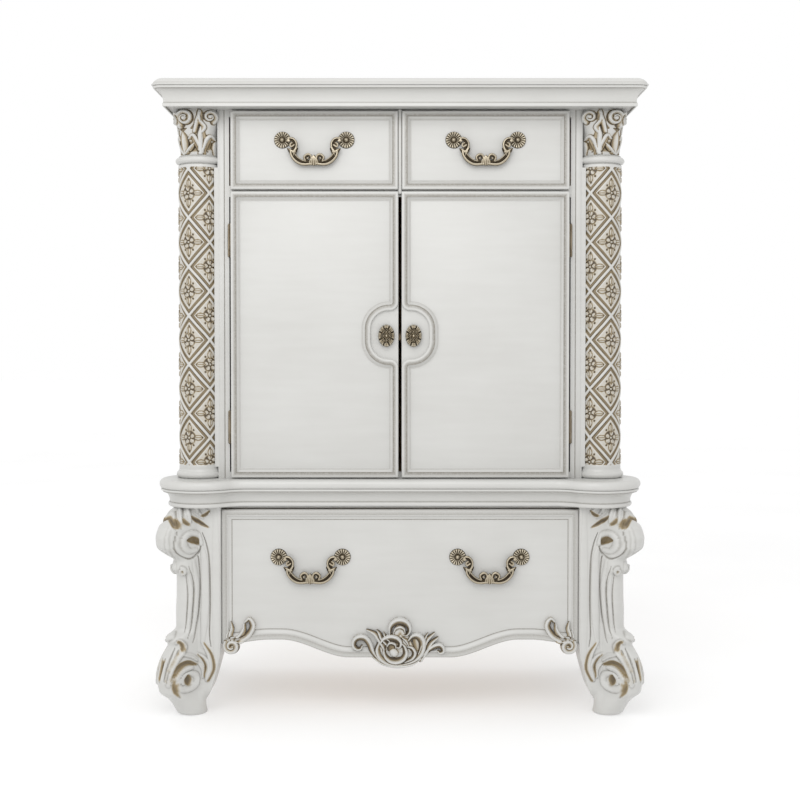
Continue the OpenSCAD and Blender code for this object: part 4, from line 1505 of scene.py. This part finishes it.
@dataclass
class DrawerCarving:
    """Cartouche in the middle of the wide drawer's lower edge, and a scroll with leaves at each corner."""

    shop: Workshop
    middle_z: float = 172.0
    corner: Point = (424.0, 170.0)

    def cartouche(self) -> list[Stroke]:
        """The middle carving, from its lowest layer up."""
        ground = [
            Stroke([(0, -22), (0, 18)], [30, 34, 24], [2, 3, 3], 0, 0, 0.6, 0.6),
            Stroke([(-52, -18), (-40, 12)], [16, 14], [2, 2.5], 0, 0, 0.6, 0.6),
            Stroke([(52, -18), (44, 12)], [16, 14], [2, 2.5], 0, 0, 0.6, 0.6),
            Stroke([(-14, 22), (0, 40), (8, 28)], [9, 14, 8], [4, 5, 4], 0, 0, 0.5, 0.5),
        ]
        leaves = [
            leaf([(-40, -6), (-52, 14), (-64, 30), (-83, 39)], 6.5, 8, 0.75, -0.3),
            leaf([(-34, 4), (-46, 18), (-51, 30), (-58, 38)], 5.5, 9, 0.75, -0.3),
            leaf([(-26, 12), (-36, 22), (-41, 32)], 4.5, 8, 0.7, -0.3),
            leaf([(48, -34), (58, -6), (68, 14), (86, 31)], 6.5, 8, 0.75, 0.3),
            leaf([(52, -38), (66, -14), (78, 6), (95, 20)], 6.5, 9, 0.75, 0.3),
            leaf([(46, -20), (56, 6), (62, 18), (70, 30)], 4.5, 7, 0.7, 0.3),
            Stroke([(-68, -31), (-41, -47), (-5, -52), (30, -47), (55, -32)], [2.5, 5, 6, 5, 2.5],
                   [6, 9, 9, 9, 6], 0.3, 0.2, 0.3),
        ]
        scrolls = [
            Stroke([(-52, -40), (-69, -17), (-77, 4), (-88, 18), (-103, 20), (-114, 12), (-116, 0),
                    (-109, -8), (-100, -8), (-96, -1)],
                   [2.5, 7, 8.5, 8, 7, 6, 4.5, 3], [8, 12, 13, 12, 11, 9], 0.6, 0.1, 0.85),
            Stroke([(50, -34), (69, -15), (84, -4), (98, 0), (106, -5), (108, -14), (101, -18), (96, -14)],
                   [2.5, 5.5, 7, 7, 6, 4.5, 3], [8, 11, 12, 11, 9], 0.6, 0.0, 0.85),
            Stroke([(-25, 26), (-24, 46), (-14, 58), (0, 62), (14, 58), (22, 48), (23, 36), (17, 27),
                    (9, 26)],
                   [2.5, 7, 9, 9.5, 8, 5.5, 3.5, 2.5], [9, 13, 14, 13, 9], 0.6, 0.0, 0.9),
            Stroke([(-16, 28), (-11, 40), (0, 45), (9, 41), (12, 32)], [2, 4.5, 5.5, 4.5, 2], [8, 11, 12, 9],
                   0.6, 0.0, 0.8),
            Stroke([(22, 12), (33, 23), (46, 23), (56, 10), (55, -12), (44, -30), (25, -42), (4, -48)],
                   [2.5, 7, 9, 9.5, 8.5, 7, 5, 2.5], [9, 13, 14, 13, 11, 8], 0.6, 0.1, 0.85),
            Stroke([(18, -4), (30, -8), (36, -20), (29, -33), (12, -42)], [2.5, 5.5, 6.5, 5.5, 2.5],
                   [8, 12, 13, 11, 8], 0.6, 0.1, 0.85),
            Stroke([(-51, 8), (-56, -14), (-47, -33), (-28, -45), (-5, -49)], [2.5, 6.5, 7.5, 6.5, 2.5],
                   [8, 11, 12, 11, 8], 0.5, 0.1, 0.7),
            Stroke([(-40, -6), (-37, -24), (-25, -37), (-8, -40), (7, -33), (14, -19), (10, -4), (3, 5)],
                   [2.5, 6, 7.5, 8, 8, 7, 5, 2.5], [9, 13, 14, 14, 12, 9], 0.6, -0.1, 0.85),
            dot(-16, -17, 10.5, 10, 0.1, 0.5, end=(-14, -19)),
            Stroke([(-33, -4), (-25, 5), (-14, 2), (-11, -7)], [2, 5, 5, 2.5], [9, 13, 12, 9], 0.6, 0.0,
                   0.85),
            Stroke([(-50, 2), (-41, 14), (-25, 20), (-9, 17), (0, 7), (-2, -3), (-9, -4)],
                   [2.5, 6.5, 8.5, 8, 6.5, 4.5, 2.5], [9, 13, 15, 14, 11], 0.6, 0.0, 0.9),
            Stroke([(6, 20), (17, 12), (22, 0)], [2.5, 5, 2.5], [9, 11, 8], 0.5, 0.2, 0.7),
        ]
        return ground + leaves + scrolls

    def corner_scroll(self) -> list[Stroke]:
        """The right corner's scroll; leaves run towards the drawer's middle."""
        return [
            leaf([(-8, 12), (-31, 20), (-46, 34), (-53, 52), (-45, 67), (-36, 61)], 8.5, 9, 0.85, 0.25),
            leaf([(-4, 14), (-20, 24), (-31, 40), (-33, 60)], 6.5, 8, 0.5, 0.3),
            leaf([(4, 16), (2, 30), (-2, 44), (1, 60)], 6, 7, 0.5, 0.2),
            leaf([(8, 14), (10, 26), (6, 38)], 5, 6, 0.4, 0.2),
            dot(0, 0, 21, 4, 0.5, 0.3, end=(1, 0)),
            Stroke(spiral(0, 0, 18.5, 5, 40, -1.45, 20), [5.5, 6.5, 5.5, 3.5], [10, 12, 11, 9], 0.3, 0.1, 0.5,
                   0.2),
            cut([(-3, 2), (2, 2), (4, -2)], 4, 2.5, 0.7),
            cut([(18, 15), (0, 22), (-16, 15), (-24, 8)], 4.5, 3, 0.85),
            Stroke([(-22, 11), (-28, 13)], [6, 5.5], [10, 9], 0, 0, 0.5, 0.4),
        ]

    def build(self) -> None:
        """Makes the three carvings as one piece."""
        face = box_mm("drawer_wide_front")[0][1] + 7.9
        pieces = [self.shop.carved("drawer_wide_cartouche", self.cartouche(), 0.8, (0, face, self.middle_z),
                                   5)]
        for side in Side:
            strokes = [stroke.turned(side.value) for stroke in self.corner_scroll()]
            origin = (side.value * self.corner[0], face, self.corner[1])
            pieces.append(self.shop.carved(f"corner_scroll_{side.word}", strokes, 0.7, origin, 5))
        piece = self.shop.join("drawer_wide_carvings", pieces)
        self.shop.hand_over(piece, "drawer_wide", "pearl_carved", "drawer_wide_carving")


# --- Brass ---


@dataclass
class BailHandle:
    """Swinging bail between two fluted rosettes, cast once and fitted in four places."""

    shop: Workshop
    gap: float = 160.0
    post: float = 63.0
    rosette_r: float = 21.0

    def half(self) -> list[Stroke]:
        """Left half of the bail, from its post's middle."""
        arm = [(-56, -26), (-53, -37), (-42, -49.5), (-27, -56), (-7, -55.5)]
        beads = smooth_path([(-48, -34), (-41, -42), (-32, -48.5), (-22, -52)], 4)
        strokes = [
            Stroke(arm, [5.6, 7.0, 7.4, 6.4], [3.4, 4.2, 4.2, 3.6], 0.5, -0.35, 0.7),
            Stroke([(-66, -2), (-61, 3.5), (-53, 1.5), (-47, -7), (-48, -18), (-55, -28)],
                   [3.6, 4.6, 5.6, 6.2, 6.2, 5.4], [3.2, 4.2, 4.4, 3.8], 0.5, 0.15, 0.7),
            cut(arm, 2.0, 1.6, 0.9),
            cut([(-61, 3.5), (-53, 1.5), (-47, -7), (-48, -18), (-55, -28)], 2.0, 1.6, 0.9),
            Stroke([(-50, -11), (-57, -15), (-58, -9), (-54, -7)], [3.4, 3.4, 2.8], [3.6, 4.2, 3.8], 0.25, 0,
                   0.5),
            leaf([(-48, -30), (-57, -28), (-65, -21)], 5.5, 3.8, 0.6),
            leaf([(-43, -21), (-47, -29), (-51, -38)], 4.5, 4.4, 0.6),
            Stroke([(-20, -50), (-23, -42), (-16, -36), (-9, -39), (-7, -50)], [3.6, 4.4, 4.4, 3.8],
                   [4.0, 5.0, 4.2], 0.45, 0, 0.65),
            dot(-16, -44.5, 3.0, 5, end=(-15.6, -44.5)),
        ]
        strokes += [dot(x, z, 2.0, 5.6) for x, z in beads]
        for k in (0, 1, 2):
            drop = [(0, -38), (-4.2 * k, -50), (-4.8 * k, -61 + 1.4 * k)]
            strokes.append(Stroke(drop, [2.4, 3.4, 2.8], [4.0, 5.2, 4.0], 0.2, 0, 0.5))
        return strokes + [dot(-63, -1, 4.4, 3.6, end=(-62.6, -1))]

    def rosette_height(self, radius: Array, angle: Array) -> Array:
        """Fluted dish with a raised boss in the middle."""
        flutes = np.abs(np.cos(9 * angle)) ** 0.6
        dish = 3.2 + 2.2 * smoothstep(radius, 6, 18) - 4.0 * smoothstep(radius, 18.6, 21.0)
        fluted = smoothstep(radius, 7.0, 9.0) * (1 - smoothstep(radius, 19.5, 21.0))
        ridged = dish + 3.0 * (flutes - 0.75) * fluted
        boss = 9.8 * np.sqrt(np.clip(1 - (radius / 6.6) ** 2, 0, 1))
        return np.where(radius >= self.rosette_r - 0.01, 0, np.maximum(ridged, boss))

    def build(self) -> None:
        """Casts the bail and the rosettes, and fits them to the drawers."""
        strokes = [stroke.turned(flip) for stroke in self.half() for flip in (-1.0, 1.0)]
        bail = self.shop.carved("bail_pattern", strokes, 0.55, (0, 0, 0), 0.6, True)
        radii = np.concatenate([np.linspace(0.05, 7, 12), np.linspace(7.6, 20.6, 18), [self.rosette_r]])
        rosette = self.shop.turned("rosette_pattern", (0, 0, 0), self.rosette_height, radii, 162)
        places = (("upper_left", "drawer_left", "drawer_left_bail", "drawer_left_pull"),
                  ("upper_right", "drawer_right", "drawer_right_bail", "drawer_right_pull"),
                  ("wide_left", "drawer_wide", "drawer_wide_bail_left", "drawer_wide_pulls"),
                  ("wide_right", "drawer_wide", "drawer_wide_bail_right", "drawer_wide_pulls"))
        wide = []
        for word, drawer, node, pull in places:
            low, high = box_mm(node)
            x, y = (low[0] + high[0]) / 2, (low[1] + high[1]) / 2
            pivot = low[2] + 58.0
            piece = self.shop.shifted(bail, f"bail_{word}_cast", (x, y, pivot))
            self.shop.hand_over(piece, f"bail_{word}", "antique_brass", node)
            face = box_mm(pull)[1][1]
            pair = [self.shop.shifted(rosette, f"rosettes_{word}",
                                      (x + side.value * self.gap / 2, face, pivot + 3.0))
                    for side in Side]
            piece = self.shop.join(f"rosettes_{word}", pair)
            if drawer != "drawer_wide":
                self.shop.hand_over(piece, drawer, "antique_brass", pull)
            else:
                wide.append(piece)
        pulls = self.shop.join("rosettes_wide", wide)
        self.shop.hand_over(pulls, "drawer_wide", "antique_brass", "drawer_wide_pulls")
        for pattern in (bail, rosette):
            bpy.data.objects.remove(pattern)


@dataclass
class HingeBarrels:
    """Slim knuckled hinge barrels with ball tips at the doors' outer edges."""

    shop: Workshop
    axis: Point = (430.0, -164.0)
    radius: float = 3.3
    spans: Sequence[Point] = ((678.0, 763.0), (1148.0, 1233.0))

    def barrel(self, side: Side, low: float, high: float) -> Piece:
        """One barrel."""
        up = np.linspace(0, high - low, 120)
        joints = np.array([0.2, 0.4, 0.6, 0.8]) * (high - low)
        dip = np.exp(-((np.abs(up[:, None] - joints).min(1) / 0.7) ** 2))
        end = np.minimum(up, high - low - up)
        radius = (self.radius - 0.8 * dip) * np.sqrt(np.clip(end / 3.2, 0.0004, 1))
        level, angle = np.meshgrid(up, np.linspace(0, 2 * math.pi, 33), indexing="ij")
        x = side.value * self.axis[0] + radius[:, None] * np.cos(angle)
        y = self.axis[1] + radius[:, None] * np.sin(angle)
        places = np.stack([x, y, low + level], -1)
        places[:, -1] = places[:, 0]
        return self.shop.shell(f"barrel_{side.word}", places, angle=50)

    def build(self) -> None:
        """Makes the four barrels."""
        barrels = [self.barrel(side, low, high) for side in Side for low, high in self.spans]
        piece = self.shop.join("hinge_barrels", barrels)
        self.shop.hand_over(piece, "carcass", "hinge_steel", "hinge_frame_leaves")


@dataclass
class Knob:
    """Oval knob cast as a knotted wreath round a rhombus and a ringed boss."""

    shop: Workshop
    half_wide: float = 20.5
    squash: float = 1.36
    tall: float = 13.0
    patina: float = 0.52
    stem_long: float = 7.0
    stem_r: float = 9.0

    def height(self, radius: Array, angle: Array) -> Array:
        """Height of the knob over its foot."""
        r = radius / self.half_wide
        lobes = np.abs(np.cos(4 * angle))
        wreath = 11.0 * np.sqrt(np.clip(1 - ((r - 0.77) / 0.23) ** 2, 0, 1))
        wreath = wreath * (0.55 + 0.45 * smoothstep(lobes, 0.05, 0.5))
        ridge = 1.2 * np.cos(3 * math.pi * (r - 0.77) / 0.23 + 3 * lobes) * smoothstep(wreath, 3, 7)
        rhomb = r * (np.abs(np.cos(angle)) + np.abs(np.sin(angle)))
        frame_edge = 12.5 * np.exp(-(((rhomb - 0.60) / 0.10) ** 2))
        boss = 12.5 * np.sqrt(np.clip(1 - (r / 0.20) ** 2, 0, 1))
        ring = 9.5 * np.exp(-(((r - 0.29) / 0.06) ** 2))
        ground = 6.5 * (1 - smoothstep(r, 0.6, 0.98))
        value = np.maximum.reduce([wreath + ridge, ground, frame_edge, boss, ring])
        return np.where(radius >= self.half_wide - 0.01, 0, value)

    def stem_height(self, radius: Array, angle: Array) -> Array:
        """Height of the short foot, which has a dished rim."""
        rim = np.sin(np.clip((radius - 6) / 3, 0, 1) * 3.1)
        return np.where(radius >= self.stem_r - 0.01, 0, 7.2 - 2.5 * rim)

    def build(self) -> None:
        """Makes both knobs, each on a short foot."""
        radii = np.concatenate([np.linspace(0.05, self.half_wide - 0.4, 44), [self.half_wide]])
        for side in Side:
            low, high = box_mm(f"door_{side.word}_knob")
            x, _, z = (low + high) / 2
            foot = high[1] - self.stem_long
            scale = min((foot - low[1]) / self.tall, 1.0)
            face = self.shop.turned(f"knob_{side.word}_face", (x, foot, z), lambda r,
                                    a: self.height(r, a) * scale,
                                    radii, 144, self.squash, self.patina)
            stem = self.shop.turned(f"knob_{side.word}_stem", (x, high[1], z), self.stem_height,
                                    np.linspace(0.05, self.stem_r, 16), 48)
            piece = self.shop.join(f"knob_{side.word}_cast", [face, stem])
            self.shop.hand_over(piece, f"door_{side.word}", "antique_brass", f"door_{side.word}_knob")


# --- Capitals ---


@dataclass
class Capital:
    """Leafy capital with a scroll at each visible corner, symmetric about the column's diagonal."""

    shop: Workshop
    rows: int = 150
    columns: int = 260

    def strokes(self) -> list[Stroke]:
        """The carving, as (outwards from the axis, height over the foot)."""
        return [
            cut([(-50, 30), (-20, 22), (20, 22), (50, 30)], 16, 3, 0.55),
            cut([(-12, 66), (0, 72), (14, 66)], 8, 3, 0.6),
            leaf([(-12, 1), (-13, 30), (-12, 50), (-12, 66)], 11, 9, 0.45, 0.0),
            leaf([(-14, 8), (-24, 34), (-32, 44), (-40, 38)], 8, 8, 0.55, 0.3),
            leaf([(-10, 8), (2, 34), (10, 46), (18, 40)], 8, 8, 0.55, -0.3),
            leaf([(30, 2), (30, 26), (32, 44), (36, 56)], 10, 8, 0.5, 0.0),
            leaf([(26, 4), (14, 18), (6, 28)], 6, 7, 0.5, 0.3),
            leaf([(34, 6), (44, 24), (52, 40)], 8, 7, 0.5, -0.3),
            leaf([(-44, 2), (-44, 24), (-50, 40)], 9, 7, 0.5, 0.0),
            Stroke([(-10, 56), (-18, 68), (-10, 80)], [5, 6, 5], [6, 7, 6], 0.3, 0, 0.5),
            Stroke([(4, 58), (0, 74), (-4, 88), (-10, 104)], [5, 6, 5], [6, 7, 6], 0.3, 0, 0.5),
            leaf([(-10, 84), (-9, 98), (-8, 112)], 7, 8, 0.4, 0.0),
            Stroke(spiral(27, 90, 20, 5, -60, 1.5, 18), [6, 6, 5, 4], [12, 14, 13, 12], 0.35, 0.2, 0.45, 0.4),
            dot(27, 90, 6, 13, end=(28, 90)),
            Stroke(spiral(-32, 93, 15, 4, 240, -1.3, 16), [5, 5, 4, 3], [8, 9, 8, 8], 0.35, 0.2, 0.45, 0.4),
            dot(-32, 93, 5, 9, end=(-31, 93)),
            cut([(27, 66), (40, 62), (52, 64)], 5, 3, 0.6),
        ] + [cut([(x, 8), (x, 10)], 3, 3, 0.9) for x in (-4, 18, -26, 44)]

    def build(self) -> None:
        """Makes both capitals."""
        low, high = box_mm("capital_right")
        axis = sum(box_mm("column_right"))[:2] / 2
        tall = high[2] - low[2]
        turn = np.linspace(-math.pi, math.pi, self.columns)
        up = np.linspace(0, tall, self.rows)
        level, angle = np.meshgrid(up, turn, indexing="ij")
        bell = 43 + 6 * smoothstep(level, 0, 60) + 5 * smoothstep(level, 50, 100)
        bell -= 3 * smoothstep(tall - level, 9, 0)
        step_x, step_y = np.cos(angle - DIAGONAL), np.sin(angle - DIAGONAL)
        square = 1 / np.maximum(np.abs(step_x), np.abs(step_y))
        radius = bell * (1 + (np.minimum(square, 1.22) - 1) * 0.5 * smoothstep(level, 40, 90))
        x, y = radius * step_x, radius * step_y
        across = np.where(angle < 0, x, -y)
        relief = Relief(across, level * 113.0 / tall)
        relief.add(self.strokes())
        height, gilt, _ = relief.grids()
        seen = smoothstep(x - y, -60, -30)
        height = np.clip(height, -3, 14) * seen * smoothstep(tall - level, 0, 3) * smoothstep(level, -1, 2)
        x, y = x + step_x * height, y + step_y * height
        x = np.clip(x, low[0] - axis[0], high[0] - axis[0] + 4)
        y = np.maximum(y, low[1] - axis[1] - 4)
        places = np.stack([axis[0] + x, axis[1] + y, low[2] + level], -1)
        places[:, -1] = places[:, 0]
        shade = np.clip(-height / 3, 0, 1) * (gilt < 0.3)
        marks = {"gilt": gilt * seen, "glaze": shade}
        self.shop.hand_over_pair(self.shop.shell("capital_right_carved", places, marks), "capital_right")


# --- Studio ---


@dataclass
class Studio:
    """Pale floor, soft lamps and a camera square to the front."""

    finishes: Finishes
    distance: float = 3.0
    lens: float = 55.2
    eye: float = 0.927
    tilt: float = 1.25
    shift: float = -0.035
    floor_side: float = 60.0
    sky: float = 1.0
    lamp_side: float = 1.6
    top_power: float = 24.0
    left_power: float = 7.0

    def lamp(self, name: str, place: Sequence[float], turn: Sequence[float], size: float,
             power: float) -> None:
        """Adds a soft square lamp.

        Args:
            name: its name.
            place: where it hangs, in metres.
            turn: its rotation, in degrees.
            size: its side, in metres.
            power: its power, in watts.
        """
        light = bpy.data.lights.new(name, "AREA")
        light.size, light.energy = size, power
        obj = bpy.data.objects.new(name, light)
        obj.location = place
        obj.rotation_euler = [math.radians(t) for t in turn]
        bpy.context.collection.objects.link(obj)

    def build(self) -> None:
        """Sets the floor, the light and the camera."""
        bpy.ops.object.select_all(action="DESELECT")
        bpy.ops.mesh.primitive_plane_add(size=self.floor_side)
        floor = bpy.context.object
        floor.name = "studio_floor"
        floor.data.materials.append(StudioFloor().make())
        world = bpy.data.worlds.new("studio")
        bpy.context.scene.world = world
        world.use_nodes = True
        background = world.node_tree.nodes["Background"]
        background.inputs["Color"].default_value = (1.0, 1.0, 1.0, 1)
        background.inputs["Strength"].default_value = self.sky
        self.lamp("top_lamp", (-0.3, -2.3, 2.3), (52, 0, -8), self.lamp_side, self.top_power)
        self.lamp("left_lamp", (-2.6, -2.2, 1.9), (70, 0, -48), self.lamp_side, self.left_power)
        camera = bpy.data.cameras.new("camera")
        camera.lens, camera.shift_y = self.lens, self.shift
        eye = bpy.data.objects.new("camera", camera)
        eye.location = (0, CAD_BOUNDS[0][1] - self.distance, self.eye)
        eye.rotation_euler = (math.radians(90 - self.tilt), 0, 0)
        bpy.context.collection.objects.link(eye)
        scene = bpy.context.scene
        scene.camera = eye
        scene.view_settings.view_transform = "Standard"


def main() -> None:
    """Builds the armoire, sub-assembly by sub-assembly."""
    logging.basicConfig(level=logging.INFO, format="%(message)s")
    finishes = Finishes()
    finishes.dress_cad()
    shop = Workshop(finishes)
    Studio(finishes).build()
    parts = (Crown(shop), Waist(shop), FrontFrames(shop), LatticeColumn(shop), Capital(shop), ScrollLeg(shop),
             DrawerCarving(shop), BailHandle(shop), HingeBarrels(shop), Knob(shop))
    for part in parts:
        part.build()


if __name__ == "__main__":
    main()
